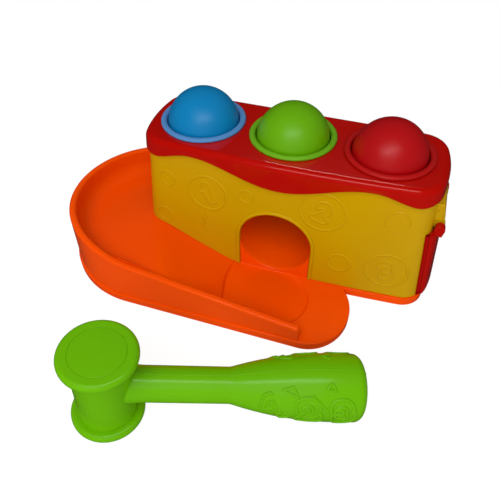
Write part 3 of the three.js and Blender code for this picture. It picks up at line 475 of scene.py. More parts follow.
RIB_HALF = 1.3
RIB_FOOT = 1.0
RIB_LEFT, RIB_RIGHT = -144.5, 104.0
RIB_NEAR, RIB_FAR = -84.0, 28.0
PAD_RADIUS = 7.0
BOSS_RADIUS = 4.2
BOSS_FOOT = 3.4
LEAST_BOSS_TOP = 4.0
BASE_SCREWS = ("body_screw_1", "body_screw_2", "body_screw_3", "body_screw_4",
               "ramp_screw_left", "ramp_screw_right", "chute_screw")


def rib_parts():
    """Two crossing ribs, a pad where they cross and the bosses of the screws, all below the floor."""
    along = [(np.array((x, 0.0)), np.array((0.0, RIB_HALF))) for x in np.linspace(RIB_LEFT, RIB_RIGHT, 64)]
    across = [(np.array((0.0, y)), np.array((RIB_HALF, 0.0))) for y in np.linspace(RIB_NEAR, RIB_FAR, 30)]
    parts = []
    for rib in (along, across):
        rings = []
        for middle, half in rib:
            top = float(floor_height(*middle)) - FLOOR_WALL / 2
            corners = ((-1, RIB_FOOT), (1, RIB_FOOT), (1, top), (-1, top))
            rings.append([(*(middle + side * half), z) for side, z in corners])
        parts += tube(rings)
    parts += post(0, 0, PAD_RADIUS, 0, APRON_Z - FLOOR_WALL / 2)
    for screw in BASE_SCREWS:
        low, high = (np.array(corner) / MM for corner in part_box(screw))
        x, y = (low + high)[:2] / 2
        top = max(float(floor_height(x, y)) - FLOOR_WALL / 2, LEAST_BOSS_TOP)
        parts += post(x, y, BOSS_RADIUS, BOSS_FOOT, top)
    return parts


tray = even_shading(moulding("tray", tray_parts() + rib_parts(), orange, 30))
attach(tray, "toy")
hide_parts("base_tray")

# Ramps and chute
# Orange mouldings screwed to the tray: a flat ramp under each outer hole, and a half pipe under the middle
# one whose face fills the foot of the arch.
for name in ("ramp_left", "ramp_right"):
    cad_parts[name].material_slots[0].material = orange

FIT = 0.3
CHUTE_RADIUS = 25.1
CHUTE_WALL = 2.0
CHUTE_NEAR, CHUTE_FAR = -32.2, 27.2
CHUTE_LIP = 7.6
CHUTE_SLOPE = radians(9)
ARCH_Z = CHUTE_LIP + CHUTE_RADIUS / cos(CHUTE_SLOPE)
FACE_HALF = 24.8
FACE_BACK = -31.9
FACE_INSET = 0.6
FACE_EDGE = 0.4


def chute_axis(y):
    return ARCH_Z + (y - float(front_y(0, CHUTE_LIP))) * tan(CHUTE_SLOPE)


def chute_parts():
    lower_half = np.radians(np.linspace(180, 360, 49))
    rings = []
    for y in np.linspace(CHUTE_NEAR, CHUTE_FAR, 12):
        ring = [(r * cos(a), y, chute_axis(y) + r * sin(a) / cos(CHUTE_SLOPE))
                for r, turn in ((CHUTE_RADIUS, lower_half), (CHUTE_RADIUS + CHUTE_WALL, lower_half[::-1]))
                for a in turn]
        rings.append([(x, y, max(z, APRON_Z + FIT)) for x, y, z in ring])
    face = []
    foot = APRON_Z + FIT
    for x in np.linspace(-FACE_HALF, FACE_HALF, 61):
        near, far = float(front_y(x, 15)) + FACE_INSET, FACE_BACK
        sag = sqrt(CHUTE_RADIUS ** 2 - x ** 2) / cos(CHUTE_SLOPE)
        lip, rear = chute_axis(near) - sag, chute_axis(far) - sag
        section = ((near, foot), (near, lip - FACE_EDGE), (near + FACE_EDGE, lip), (far, rear), (far, foot))
        face.append([(x, y, z) for y, z in section])
    return tube(rings) + tube(face)


chute = moulding("chute", chute_parts(), orange, 40)
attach(chute, "toy")
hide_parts("chute_centre")

# Block
# The hollow yellow shell on the plinth, one moulding with its arch, the bead round the arch, raised circles
# and numerals on the front, and the hood over the flap's hinge. It is screwed to the tray from below.
yellow = moulded_plastic("yellow_gloss", linear(201, 157, 0), linear(195, 150, 0), 0.3, 0.12,
                         coat=0.2, mirror=0.1)
BODY_WALL = 2.2


def shell_at(z, offset):
    """Points of the block's grown outline, each at its own height."""
    low, high = block_outline(0, offset, 80), block_outline(BODY_TOP, offset, 80)
    share = np.asarray(z, float).reshape(-1, 1) / BODY_TOP
    flat = low + (high - low) * share
    return np.column_stack((flat, np.broadcast_to(np.asarray(z, float).reshape(-1), len(flat))))


def body_parts():
    foot = floor_height(*block_outline(APRON_Z, 0, 80).T) + FIT
    outer = [shell_at(foot + share * (BODY_TOP - foot), 0) for share in np.linspace(0, 1, 16)]
    inner = [shell_at(foot + share * (BODY_TOP - foot), -BODY_WALL) for share in np.linspace(1, 0, 16)]
    return [band(np.stack((*outer, *inner, outer[0]), 1))]


def arched(middle, spring, radius, foot=0.0):
    """The outline of an opening with straight sides and a round top."""
    top = arc((middle, spring), radius, 0, 180, 64)
    return np.vstack((top, [(middle - radius, foot), (middle + radius, foot)]))


def carved(piece, *cutters):
    """Cuts openings into a piece and leaves it a plain mesh."""
    for number, cutter in enumerate(cutters):
        opening = piece.modifiers.new(f"opening_{number}", "BOOLEAN")
        opening.solver = "EXACT"
        opening.object = cutter
    return settled(piece, cutters)


def settled(piece, helpers=()):
    """Turns a piece with modifiers into a plain mesh and removes its helpers."""
    graph = bpy.context.evaluated_depsgraph_get()
    made = bpy.data.meshes.new_from_object(piece.evaluated_get(graph))
    piece.modifiers.clear()
    piece.data = made
    for helper in helpers:
        bpy.data.objects.remove(helper)
    return piece


body = moulding("block_shell", body_parts(), yellow)
WAY_RADIUS = 23.85
LEFT_SILL, RIGHT_SILL = 30.2, 12.6
arch_way = arched(0, ARCH_Z, CHUTE_RADIUS)
left_way = arched(1.0, LEFT_SILL + WAY_RADIUS, WAY_RADIUS)
right_way = arched(0, RIGHT_SILL + WAY_RADIUS, WAY_RADIUS)
carved(body,
       moulding("arch_way", tube([[(x, y, z) for x, z in arch_way] for y in (-60, 0)]), yellow),
       moulding("left_way", tube([[(x, y, z) for y, z in left_way] for x in (-130, -60)]), yellow),
       moulding("right_way", tube([[(x, y, z) for y, z in right_way] for x in (60, 130)]), yellow))
even_shading(smoothed(body, 30))
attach(body, "toy")
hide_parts("body_shell")


def shape_node(tree, kind, settings=None, **links):
    """The first output of a new node of a shape's tree, with its settings, inputs and links made."""
    made = tree.nodes.new(kind)
    for name, value in (settings or {}).items():
        if name in made.inputs:
            made.inputs[name].default_value = value
        else:
            setattr(made, name, value)
    for name, sources in links.items():
        for source in sources if isinstance(sources, list) else [sources]:
            tree.links.new(source, made.inputs[name.replace("_", " ")])
    return made.outputs[0]


def shaped(piece, start, sizes, build, material):
    """Runs a piece through a tree of nodes with named sizes, and leaves it a plain mesh of one material."""
    tree = bpy.data.node_groups.new(piece.name + "_shape", "GeometryNodeTree")
    tree.interface.new_socket(start, in_out="INPUT", socket_type="NodeSocketGeometry")
    keys = {}
    for name, size in sizes.items():
        kind = "NodeSocketInt" if isinstance(size, int) else "NodeSocketFloat"
        keys[name] = tree.interface.new_socket(name, in_out="INPUT", socket_type=kind).identifier
    tree.interface.new_socket("Shape", in_out="OUTPUT", socket_type="NodeSocketGeometry")
    last = build(tree, tree.nodes.new("NodeGroupInput").outputs)
    real = shape_node(tree, "GeometryNodeRealizeInstances", Geometry=last)
    paint = shape_node(tree, "GeometryNodeSetMaterial", {"Material": material}, Geometry=real)
    tree.links.new(paint, tree.nodes.new("NodeGroupOutput").inputs["Shape"])
    modifier = piece.modifiers.new("shape", "NODES")
    modifier.node_group = tree
    for name, size in sizes.items():
        modifier[keys[name]] = size
    return settled(piece)


def swept_lines(tree, given):
    """Lines swept with a round section."""
    path = shape_node(tree, "GeometryNodeMeshToCurve", Mesh=given["Lines"])
    section = shape_node(tree, "GeometryNodeCurvePrimitiveCircle",
                         Radius=given["Line radius"], Resolution=given["Line facets"])
    swept = shape_node(tree, "GeometryNodeCurveToMesh", {"Fill Caps": True},
                       Curve=path, Profile_Curve=section)
    return shape_node(tree, "GeometryNodeSetShadeSmooth", Geometry=swept)


def raised_lines(name, lines, width, material):
    """Rounded raised lines of a width along polylines, both in millimetres."""
    points, edges = [], []
    for line, closed in lines:
        first = len(points)
        points += [tuple(np.asarray(p) * MM) for p in line]
        count = len(line)
        edges += [(first + i, first + (i + 1) % count) for i in range(count if closed else count - 1)]
    mesh = bpy.data.meshes.new(name)
    mesh.from_pydata(points, edges, [])
    piece = shown(bpy.data.objects.new(name, mesh))
    return shaped(piece, "Lines", {"Line radius": width / 2 * MM, "Line facets": 10}, swept_lines, material)


def on_front(flat, sink):
    """Points (x, z) laid on the block's bowed front, sunk a little into it."""
    return np.array([(x, float(front_y(x, z)) + sink, z) for x, z in flat])


def eased(line):
    """A closed line with its corners cut twice, so that they run round."""
    for _ in range(2):
        after = np.roll(line, -1, 0)
        line = np.stack((0.75 * line + 0.25 * after, 0.25 * line + 0.75 * after), 1).reshape(-1, 2)
    return line


def anticlockwise(line):
    """A closed line, turned round if it runs clockwise."""
    area = np.sum(line[:, 0] * np.roll(line[:, 1], -1) - np.roll(line[:, 0], -1) * line[:, 1])
    return line if area > 0 else line[::-1]


def grown(line, bold):
    """A closed line moved outwards."""
    line = anticlockwise(line)
    return line - bold * inward(line)


def rounded(corners, radius, steps=5):
    """A closed outline with its corners rounded."""
    corners = np.asarray(corners, float)
    made = []
    for before, here, after in zip(np.roll(corners, 1, 0), corners, np.roll(corners, -1, 0)):
        arms = [(side - here) / np.linalg.norm(side - here) for side in (before, after)]
        bend = acos(np.clip(np.dot(*arms), -1, 1))
        shorter = min(np.linalg.norm(side - here) for side in (before, after))
        reach = min(radius / tan(bend / 2), 0.45 * shorter)
        a, b = here + arms[0] * reach, here + arms[1] * reach
        made += [(1 - t) ** 2 * a + 2 * t * (1 - t) * here + t ** 2 * b for t in np.linspace(0, 1, steps + 1)]
    return np.array(made)


def lettering(digit, height):
    """The outlines of a plain numeral as closed lines of points about the origin."""
    text = bpy.data.curves.new("numeral", "FONT")
    text.body = digit
    text.align_x = "CENTER"
    text.fill_mode = "NONE"
    text.resolution_u = 4
    holder = shown(bpy.data.objects.new("numeral", text))
    mesh = bpy.data.meshes.new_from_object(holder.evaluated_get(bpy.context.evaluated_depsgraph_get()))
    corners = np.array([v.co[:2] for v in mesh.vertices])
    follow = {}
    for a, b in (e.vertices for e in mesh.edges):
        follow.setdefault(a, []).append(b)
        follow.setdefault(b, []).append(a)
    bpy.data.objects.remove(holder)
    low, high = corners.min(0), corners.max(0)
    corners = (corners - (low + high) / 2) * height / (high[1] - low[1])
    lines, seen = [], set()
    for start in follow:
        line, here = [], start
        while here is not None and here not in seen:
            seen.add(here)
            line.append(corners[here])
            here = next((n for n in follow[here] if n not in seen), None)
        if len(line) > 2:
            lines.append(np.array(line))
    return lines


FIGURE_ONE = np.array(((-0.34, 0.2), (-0.04, 0.5), (0.2, 0.5), (0.2, -0.5),
                       (-0.1, -0.5), (-0.1, 0.13), (-0.2, 0.03)))


def numeral(digit, middle, height, turn, bold):
    """The bold outlines of a numeral, turned in degrees about its middle; the one has a flag."""
    if digit == "1":
        lines = [rounded(FIGURE_ONE * (height + 2 * bold), 1.3)]
    else:
        lines = [eased(grown(line, bold)) for line in lettering(digit, height)]
    cosine, sine = cos(radians(turn)), sin(radians(turn))
    return [line @ np.array(((cosine, sine), (-sine, cosine))) + np.asarray(middle) for line in lines]


BEAD_RADIUS = CHUTE_RADIUS + 1.3
BEAD_WIDTH, BEAD_SINK = 2.7, 0.1
BEAD_FOOT = APRON_Z + 0.6
BROAD_WIDTH, BROAD_SINK = 2.6, 0.88
FINE_WIDTH, FINE_SINK = 1.4, 0.35
RING_INSET = 0.9
FIGURE_HEIGHT, FIGURE_BOLD = 13.2, 1.6
arch_line = arched(0, ARCH_Z, BEAD_RADIUS)[:-2]
legs = [np.column_stack((np.full(8, x), zs)) for x, zs in (
    (BEAD_RADIUS, np.linspace(BEAD_FOOT, ARCH_Z, 9)[:-1]),
    (-BEAD_RADIUS, np.linspace(ARCH_Z, BEAD_FOOT, 9)[1:]))]
bead_path = on_front(np.vstack((legs[0], arch_line, legs[1])), BEAD_SINK)
arch_bead = raised_lines("arch_bead", [(bead_path, False)], BEAD_WIDTH, yellow)
numerals = (("1", (-47.9, 63.8), 14.2, 20), ("2", (29.6, 68.4), 15.2, -20), ("3", (75.8, 29.2), 14.8, 15))
broad = [(on_front(circle(middle, radius - RING_INSET, 96), BROAD_SINK), True)
         for _, middle, radius, _ in numerals]
broad.append((on_front(circle((44.6, 28.1), 7.4, 72), BROAD_SINK), True))
for digit, middle, _, turn in numerals:
    broad += [(on_front(line, BROAD_SINK), True)
              for line in numeral(digit, middle, FIGURE_HEIGHT, turn, FIGURE_BOLD)]
circles = (((-76.7, 68.2), 5.6), ((-81.8, 35.7), 5.9), ((-20.5, 68.3), 4.8), ((75.1, 71.1), 7.6))
fine = [(on_front(circle(middle, radius, 72), FINE_SINK), True) for middle, radius in circles]
zigzag = ((-51.5, 47.5), (-48.6, 41.8), (-52.6, 41.0), (-50.6, 37.0),
          (-53.4, 35.4), (-51.0, 30.5), (-51.8, 27.0))
fine.append((on_front(zigzag, FINE_SINK), False))
block_marks = raised_lines("block_marks", broad, BROAD_WIDTH, yellow)
block_fine_marks = raised_lines("block_fine_marks", fine, FINE_WIDTH, yellow)
for piece in (arch_bead, block_marks, block_fine_marks):
    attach(piece, "toy")

# Flap
# A red moulded flap over the right way out, hung by two ears on a steel pin that runs through two yellow
# lugs; a yellow hood above shields the hinge.
red = moulded_plastic("red_gloss", linear(179, 12, 4), linear(171, 8, 2), 0.22, 0.1, coat=0.6, mirror=0.06)
HINGE = np.array((100.484, 65.0))


def end_x(y, z, offset=0.0):
    """Where the grown right end of the block lies at a depth and a height."""
    outline = block_outline(z, offset)
    side = outline[:len(outline) // 2]
    side = side[side[:, 0] > 70]
    return float(np.interp(y, side[:, 1], side[:, 0]))


def softened(outline, near, far, edge):
    """A bar along Y over an outline of (x, z), with rounded long edges at both ends."""
    outline = anticlockwise(np.asarray(outline, float))
    step = inward(outline)
    turns = np.radians(np.linspace(0, 90, 5))
    levels = [(near + edge * (1 - sin(a)), edge * (1 - cos(a))) for a in turns[::-1]]
    levels += [(far - edge * (1 - sin(a)), edge * (1 - cos(a))) for a in turns]
    return tube([[(x, y, z) for x, z in outline + step * inset] for y, inset in levels])


FLAP_FOOT, FLAP_TOP = 7.4, 61.8
FLAP_HALF = 27.0
FLAP_DEPTH = 3.7
FLAP_ROUND = 3.0
FLAP_SIDE = 1.2
FLAP_EDGE = 0.8
HOLLOW_HALF = 25.2
HOLLOW_DEPTH = 1.9


def flap_pan():
    """A curved plate that follows the right end of the block, with a rounded foot and rounded sides."""
    turns = np.radians(np.linspace(0, 90, 5))
    sides = [(FLAP_HALF - FLAP_SIDE * (1 - sin(a)), FLAP_DEPTH - FLAP_SIDE * (1 - cos(a))) for a in turns]
    places = [(-y, depth) for y, depth in sides] + [(y, FLAP_DEPTH) for y in np.linspace(-24, 24, 17)]
    places += [(y, depth) for y, depth in sides[::-1]]
    rings = []
    for y, depth in places:
        ring = [(end_x(y, z, FIT), y, z) for z in np.linspace(FLAP_FOOT, FLAP_TOP, 12)]
        outside = end_x(y, FLAP_TOP, depth)
        ring += [(outside - FLAP_EDGE * (1 - sin(a)), y, FLAP_TOP - FLAP_EDGE * (1 - cos(a)))
                 for a in turns]
        ring += [(end_x(y, z, depth), y, z) for z in np.linspace(FLAP_TOP - 2, FLAP_FOOT + 4, 10)]
        outside = end_x(y, FLAP_FOOT + FLAP_ROUND, depth)
        ring += [(outside - FLAP_ROUND * (1 - cos(a)), y, FLAP_FOOT + FLAP_ROUND * (1 - sin(a)))
                 for a in turns]
        rings.append(ring)
    return tube(rings)


def flap_hollow():
    """What is left out behind the plate, so that it is a shallow pan."""
    zs = np.linspace(FLAP_FOOT + FLAP_ROUND, FLAP_TOP - 1.8, 12)
    walls = [(-2, z) for z in zs] + [(HOLLOW_DEPTH, z) for z in zs[::-1]]
    return tube([[(end_x(y, z, offset), y, z) for offset, z in walls]
                 for y in np.linspace(-HOLLOW_HALF, HOLLOW_HALF, 21)])


flap = carved(moulding("flap", flap_pan(), red, 40), moulding("flap_hollow", flap_hollow(), red, 40))
EAR_RADIUS = 3.2
EAR_SIDES = ((-24.2, -19.2), (19.2, 24.2))
ears = []
for near, far in EAR_SIDES:
    arm = [(97.7, 60.0), (102.8, 60.0)]
    ears += softened(np.vstack((arc(HINGE, EAR_RADIUS, 0, 180, 24), arm)), near, far, 0.6)
flap_ears = moulding("flap_ears", ears, red, 40)
smoothed(flap, 40)
for piece in (flap, flap_ears):
    even_shading(piece)
    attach(piece, "flap")
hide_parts("end_flap")

HOOD_FOOT, HOOD_TOP = 68.8, 81.8
HOOD_HALF = 20.0
LUG_RADIUS = 2.9
LUG_SIDES = ((-18.9, -14.5), (14.5, 18.9))
hood = [(92.0, HOOD_TOP), (92.0, HOOD_FOOT), (102.4, HOOD_FOOT), (99.3, HOOD_TOP)]
hinge_parts = softened(rounded(hood, 1.2), -HOOD_HALF, HOOD_HALF, 1.2)
for near, far in LUG_SIDES:
    arm = [(HINGE[0], HOOD_FOOT + 1), (95.5, HOOD_FOOT + 1), (95.5, 63.6)]
    hinge_parts += softened(np.vstack((arc(HINGE, LUG_RADIUS, -80, 80, 20), arm)), near, far, 0.5)
hinge_mount = even_shading(moulding("hinge_mount", hinge_parts, yellow, 40))
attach(hinge_mount, "toy")

steel, tree, shader = principled("drawn_steel")
drawn = noise(Wire.of(tree, "ShaderNodeTexCoord", output="Object"), 900.0, 4.0)
tones = {6: (0.5, 0.5, 0.52), 7: (0.62, 0.62, 0.63)}
tint = Wire.of(tree, "ShaderNodeMix", {"data_type": "RGBA"}, {0: drawn, **tones}, 2)
tree.links.new(tint.socket, shader.inputs["Base Color"])
tree.links.new((0.26 + 0.16 * drawn).socket, shader.inputs["Roughness"])
shader.inputs["Metallic"].default_value = 1.0
PIN_RADIUS, PIN_HALF = 1.5, 23.9
pin_parts = softened(circle(HINGE, PIN_RADIUS, 24), -PIN_HALF, PIN_HALF, 0.5)
hinge_pin = moulding("hinge_pin", pin_parts, steel, 40)
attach(hinge_pin, "toy")
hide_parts("flap_pin")

# Cap
# The red lid over the block: a flat top with three holes, a well rounded edge and a wavy skirt. It is held
# by four screws from inside.
BLOCK_TOP = 97.5
CAP_OUTER = 2.2
CAP_PLATE = 95.2
CAP_EDGE = 4.0
CAP_LIP = 0.5
HOLES = (-61.0, 0.0, 61.0)
HOLE_RADIUS = 26.6
WAVE_TURN, WAVE_RUN = 58.0, 28.0
MIDDLE_LEVEL, MIDDLE_SWING = 85.15, 5.95
ENDS_LEVEL, ENDS_SWING = 88.1, 3.0


def wave(x):
    """The lower edge of the cap's skirt."""
    far = np.abs(x)
    middle = MIDDLE_LEVEL - MIDDLE_SWING * np.cos(np.pi * far / WAVE_TURN)
    ends = ENDS_LEVEL + ENDS_SWING * np.cos(np.pi * (far - WAVE_TURN) / WAVE_RUN)
    return np.where(far < WAVE_TURN, middle, ends)


def cap_parts():
    low = wave(block_outline(85, CAP_OUTER, 80)[:, 0])
    rows = [shell_at(np.full(len(low), CAP_PLATE), FIT), shell_at(low + 0.3, FIT),
            shell_at(low, FIT + 0.3), shell_at(low, CAP_OUTER - CAP_LIP),
            shell_at(low + 0.15, CAP_OUTER - 0.15), shell_at(low + CAP_LIP, CAP_OUTER)]
    start = BLOCK_TOP - CAP_EDGE
    rows += [shell_at(low + CAP_LIP + share * (start - low - CAP_LIP), CAP_OUTER)
             for share in (0.25, 0.5, 0.75)]
    for a in np.radians(np.linspace(0, 90, 11)):
        z = np.full(len(low), start + CAP_EDGE * sin(a))
        rows.append(shell_at(z, CAP_OUTER - CAP_EDGE * (1 - cos(a))))
    parts = [band(np.stack(rows, 1))]
    holes = [circle((x, 0), HOLE_RADIUS, 96) for x in HOLES]
    for row, z in ((rows[-1], BLOCK_TOP), (rows[0], CAP_PLATE)):
        flat, faces = filled(row[:, :2], holes=holes)
        parts.append((level(flat, z), faces))
    for hole in holes:
        parts.append(band(np.stack([level(hole, z) for z in (CAP_PLATE, BLOCK_TOP)], 1)))
    return parts


cap = even_shading(moulding("cap", cap_parts(), red, 30))
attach(cap, "toy")
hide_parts("top_cap")

# Collars and balls
# Soft rings snapped into the cap's holes, each with a rounded bead above and six fingers below that grip
# the ball. The balls are thin blown shells with a faint seam and a vent.
def turned(profile, turns):
    """A body of revolution about Z over a closed profile of (radius, height) for every turn."""
    return band([[(r * cos(a), r * sin(a), z) for r, z in profile(a)] for a in turns])


FINGER_TURN = 60
FINGER_FOOT, SLOT_FOOT = -14.0, -10.5
SLOT_EDGES = (-2.9, -2.86, 2.86, 2.9)


def collar_profile(angle):
    share = (degrees(angle) / FINGER_TURN) % 1
    foot = SLOT_FOOT if abs(share - 0.5) < 0.048 else FINGER_FOOT
    half_turn = np.radians(np.linspace(0, 180, 17))
    bead = [(25.95 + 2.05 * cos(a), 0.9 + 1.6 * sin(a)) for a in half_turn]
    inner = [(23.9, 0.4), (23.9, -1.0), (23.95, -2.0), (23.95, foot + 0.3), (24.25, foot)]
    outer = [(26.0, foot), (26.3, foot + 0.3), (26.3, -4.2), (27.1, -2.7), (26.3, -2.65)]
    outer += [(26.3, 0.3), (27.7, 0.3)]
    profile = outer + bead + inner
    return profile + profile[:1]


def collar_turns():
    even = np.linspace(0, 360, 121)[:-1]
    slots = [FINGER_TURN * (i + 0.5) + edge for i in range(6) for edge in SLOT_EDGES]
    return np.radians(sorted([*even, *slots]))


BALL_RADIUS = 23.5
BALL_INNER = 21.9
BALL_Z = 95.5
SEAM_HEIGHT, SEAM_TURN = 0.05, 0.8
VENT_TURN = -86.3


def ball_profile(_):
    rising = np.radians([*np.linspace(VENT_TURN, -3, 40), -1.6, -0.8, 0, 0.8, 1.6, *np.linspace(3, 90, 44)])
    seam = [SEAM_HEIGHT * exp(-(degrees(t) / SEAM_TURN) ** 2) for t in rising]
    outer = [(BALL_RADIUS * cos(t) + high, BALL_RADIUS * sin(t)) for t, high in zip(rising, seam)]
    inner = arc((0, 0), BALL_INNER, 90, -86, 29)
    return [*outer, *inner, outer[0]]


def moved(parts, place):
    return [(np.asarray(points) + np.asarray(place), faces) for points, faces in parts]


COLOURS = {
    "blue": (HOLES[0], linear(0, 125, 182), linear(0, 118, 174), linear(82, 136, 192)),
    "green": (HOLES[1], linear(101, 168, 0), linear(94, 160, 0), linear(104, 168, 20)),
    "red": (HOLES[2], linear(176, 6, 12), linear(168, 3, 8), linear(176, 12, 10)),
}
for hue, (x, tone, flow, ring_tone) in COLOURS.items():
    soft = moulded_plastic(f"{hue}_soft_ring", ring_tone, tuple(0.92 * v for v in ring_tone), 0.42, 0.12, 0.3)
    satin = moulded_plastic(f"{hue}_satin_ball", tone, flow, 0.33, 0.1, 0.5, mirror=0.3)
    ring_parts = [turned(collar_profile, collar_turns())]
    ball_parts = [turned(ball_profile, np.radians(np.linspace(0, 360, 129)[:-1]))]
    ring = moulding(f"ring_{hue}", moved(ring_parts, (x, 0, BLOCK_TOP)), soft, 50)
    ball = moulding(f"shell_{hue}", moved(ball_parts, (x, 0, BALL_Z)), satin, 60)
    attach(ring, "toy")
    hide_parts(f"collar_{hue}")
    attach(ball, f"{hue}_ball")
    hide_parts(f"ball_{hue}")

# Screws
# Steel pan-head screws with a cross recess, driven from below: seven hold block, ramps and chute on the
# tray, and four hold the cap on the block's tabs.
SCREW_NODES = [*BASE_SCREWS, *(f"cap_screw_{i}" for i in (1, 2, 3, 4))]
SCREW_SIZES = {"Head radius": 3.0, "Head edge radius": 2.58, "Head height": 1.8, "Shank radius": 1.5}
CROSS_ARMS = ((0.0036, 0.0007, 0.0022), (0.0007, 0.0036, 0.0022))


def screws_on_points(tree, given):
    """A pan head with its cross recess on each point, and a shank as long as the point says."""
    head = shape_node(tree, "GeometryNodeMeshCone", {"Vertices": 32, "Side Segments": 1},
                      Depth=given["Head height"], Radius_Top=given["Head radius"],
                      Radius_Bottom=given["Head edge radius"])
    arms = [shape_node(tree, "GeometryNodeMeshCube", {"Size": size}) for size in CROSS_ARMS]
    recessed = shape_node(tree, "GeometryNodeMeshBoolean", {"operation": "DIFFERENCE"},
                          Mesh_1=head, Mesh_2=arms)
    heads = shape_node(tree, "GeometryNodeInstanceOnPoints", Points=given["Places"], Instance=recessed)
    shank = shape_node(tree, "GeometryNodeMeshCylinder", {"Vertices": 16, "Depth": 1.0},
                       Radius=given["Shank radius"])
    raised = shape_node(tree, "GeometryNodeTransform", {"Translation": (0, 0, 0.5)}, Geometry=shank)
    reach = shape_node(tree, "GeometryNodeInputNamedAttribute",
                       {"data_type": "FLOAT_VECTOR", "Name": "reach"})
    shanks = shape_node(tree, "GeometryNodeInstanceOnPoints",
                        Points=given["Places"], Instance=raised, Scale=reach)
    return shape_node(tree, "GeometryNodeJoinGeometry", Geometry=[heads, shanks])


boxes = [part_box(name) for name in SCREW_NODES]
places = bpy.data.meshes.new("screws")
places.from_pydata([((low[0] + high[0]) / 2, (low[1] + high[1]) / 2, low[2]) for low, high in boxes], [], [])
lengths = places.attributes.new("reach", "FLOAT_VECTOR", "POINT")
for entry, (low, high) in zip(lengths.data, boxes):
    entry.vector = (1, 1, high[2] - low[2])
screws = shown(bpy.data.objects.new("screws", places))
screw_sizes = {name: size * MM for name, size in SCREW_SIZES.items()}
smoothed(shaped(screws, "Places", screw_sizes, screws_on_points, steel), 30)
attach(screws, "toy")
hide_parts(*SCREW_NODES)

# Hammer
# A light hollow hammer in green plastic, moulded in two halves that meet along a fine seam, with a disc let
# into each end of the head and raised numerals and triangles on the grip. It lies loose before the tray.
green = moulded_plastic("green_satin", linear(105, 178, 0), linear(98, 170, 0), 0.22, 0.05, 0.05, mirror=0.3)
HEAD_REACH = 30.5
HEAD_FLANGE, HEAD_ROUND = 18.1, 2.8
DISC_SEAT = 14.8
BARREL = 16.5
GRIP = 18.8
SHAFT = 10.0
SWELL_START, SWELL_LENGTH = 68.5, 58.0
FLARE, FLARE_LENGTH = 0.5, 1.5
HAMMER_END = 141.8
END_ROUND = 5.0
LYING = (Matrix.Translation(Vector((-58.4, -164.3, 32.27)) * MM)
         @ Matrix.Rotation(radians(20.05), 4, "Z")
         @ Matrix.Rotation(radians(5.625), 4, "Y"))


def head_profile(_):
    seat, high, low = HEAD_REACH - 2.3, HEAD_REACH - HEAD_ROUND, HEAD_REACH - 3.2
    upper = [(0.0, seat), (DISC_SEAT, seat), (DISC_SEAT, HEAD_REACH - 0.12), (DISC_SEAT + 0.12, HEAD_REACH)]
    upper += arc((HEAD_FLANGE, high), HEAD_ROUND, 90, 0, 10).tolist()
    upper += arc((HEAD_FLANGE, low), HEAD_ROUND, 0, -90, 10)[1:].tolist()
    upper += [(BARREL, low - HEAD_ROUND), (16.4, 12.0)]
    return [*upper, (16.35, 0.0), *((r, -z) for r, z in upper[::-1])]


def handle_radius(along):
    """The handle's radius: a little flare at the head, a plain shaft and a swelling grip."""
    along = np.asarray(along, float)
    swell = np.clip((along - SWELL_START) / SWELL_LENGTH, 0, 1)
    flare = FLARE * np.exp(-np.maximum(along - BARREL, 0) / FLARE_LENGTH)
    return SHAFT + flare + (GRIP - SHAFT) * (1 - (1 - swell) ** 2)


def handle_line():
    """(along, radius) from inside the head to the middle of the handle's end."""
    straight = HAMMER_END - END_ROUND
    along = np.concatenate(([6.0, 14.0], np.linspace(BARREL, 66, 24), np.linspace(68, straight, 40)))
    turn = arc((straight, GRIP - END_ROUND), END_ROUND, 90, 0, 10)[1:]
    return np.vstack((np.column_stack((along, handle_radius(along))), turn, [(HAMMER_END, 0.0)]))


def on_grip(along, angle, sink):
    """A point on the handle; the angle is 90 at its top and 180 at the side towards the front."""
    reach = float(handle_radius(along)) - sink
    return along, reach * cos(radians(angle)), reach * sin(radians(angle))


def laid(piece):
    """Lays a piece of the hammer, drawn with its handle along X, on the table."""
    piece.data.transform(LYING)
    return piece


TURNS = np.radians(np.linspace(0, 360, 97)[:-1])
handle_profile = [(6.0, 0.0), *handle_line()]
handle_rows = [[(s, r * cos(a), r * sin(a)) for s, r in handle_profile] for a in TURNS]
hammer = moulding("hammer", [turned(head_profile, TURNS)], green)
handle = moulding("handle", [band(handle_rows)], green)
union = hammer.modifiers.new("one_shell", "BOOLEAN")
union.operation = "UNION"
union.solver = "EXACT"
union.object = handle
even_shading(laid(smoothed(settled(hammer, [handle]), 32)))

line = handle_line()[2:-1]
SEAM_WIDTH, SEAM_SINK = 0.5, 0.1
seam = [(s, 0.0, r - SEAM_SINK) for s, r in line] + [(s, 0.0, SEAM_SINK - r) for s, r in line[::-1]]
ridges = laid(raised_lines("hammer_seam", [(np.array(seam), False)], SEAM_WIDTH, green))
STROKE_LINES = ((12.6, 3.2), (9.0, 0.3))
FIGURE_WIDTH, FIGURE_SINK = 2.2, 0.4
FIGURE_ANGLE = 168
MARK_WIDTH, MARK_SINK = 1.8, 0.35
marks = []
figures = []
for digit, along, turn in (("1", 91.5, 36), ("2", 110.0, 8), ("3", 128.5, 12)):
    strokes = [numeral(digit, (0, 0), height, turn, bold) for height, bold in STROKE_LINES]
    for outline in (*strokes[0], *strokes[1]):
        spots = list(zip(outline[:, 0], FIGURE_ANGLE - np.degrees(outline[:, 1] / handle_radius(along))))
        figures.append((np.array([on_grip(along + u, a, FIGURE_SINK) for u, a in spots]), True))
        figures.append((np.array([on_grip(along - u, 180 - a, FIGURE_SINK) for u, a in spots]), True))
grip_figures = laid(raised_lines("grip_figures", figures, FIGURE_WIDTH, green))
triangles = (((95.0, 127.3), (101.0, 120.5), (103.7, 138.8)),
             ((118.5, 123.5), (121.6, 113.2), (123.6, 126.5)))
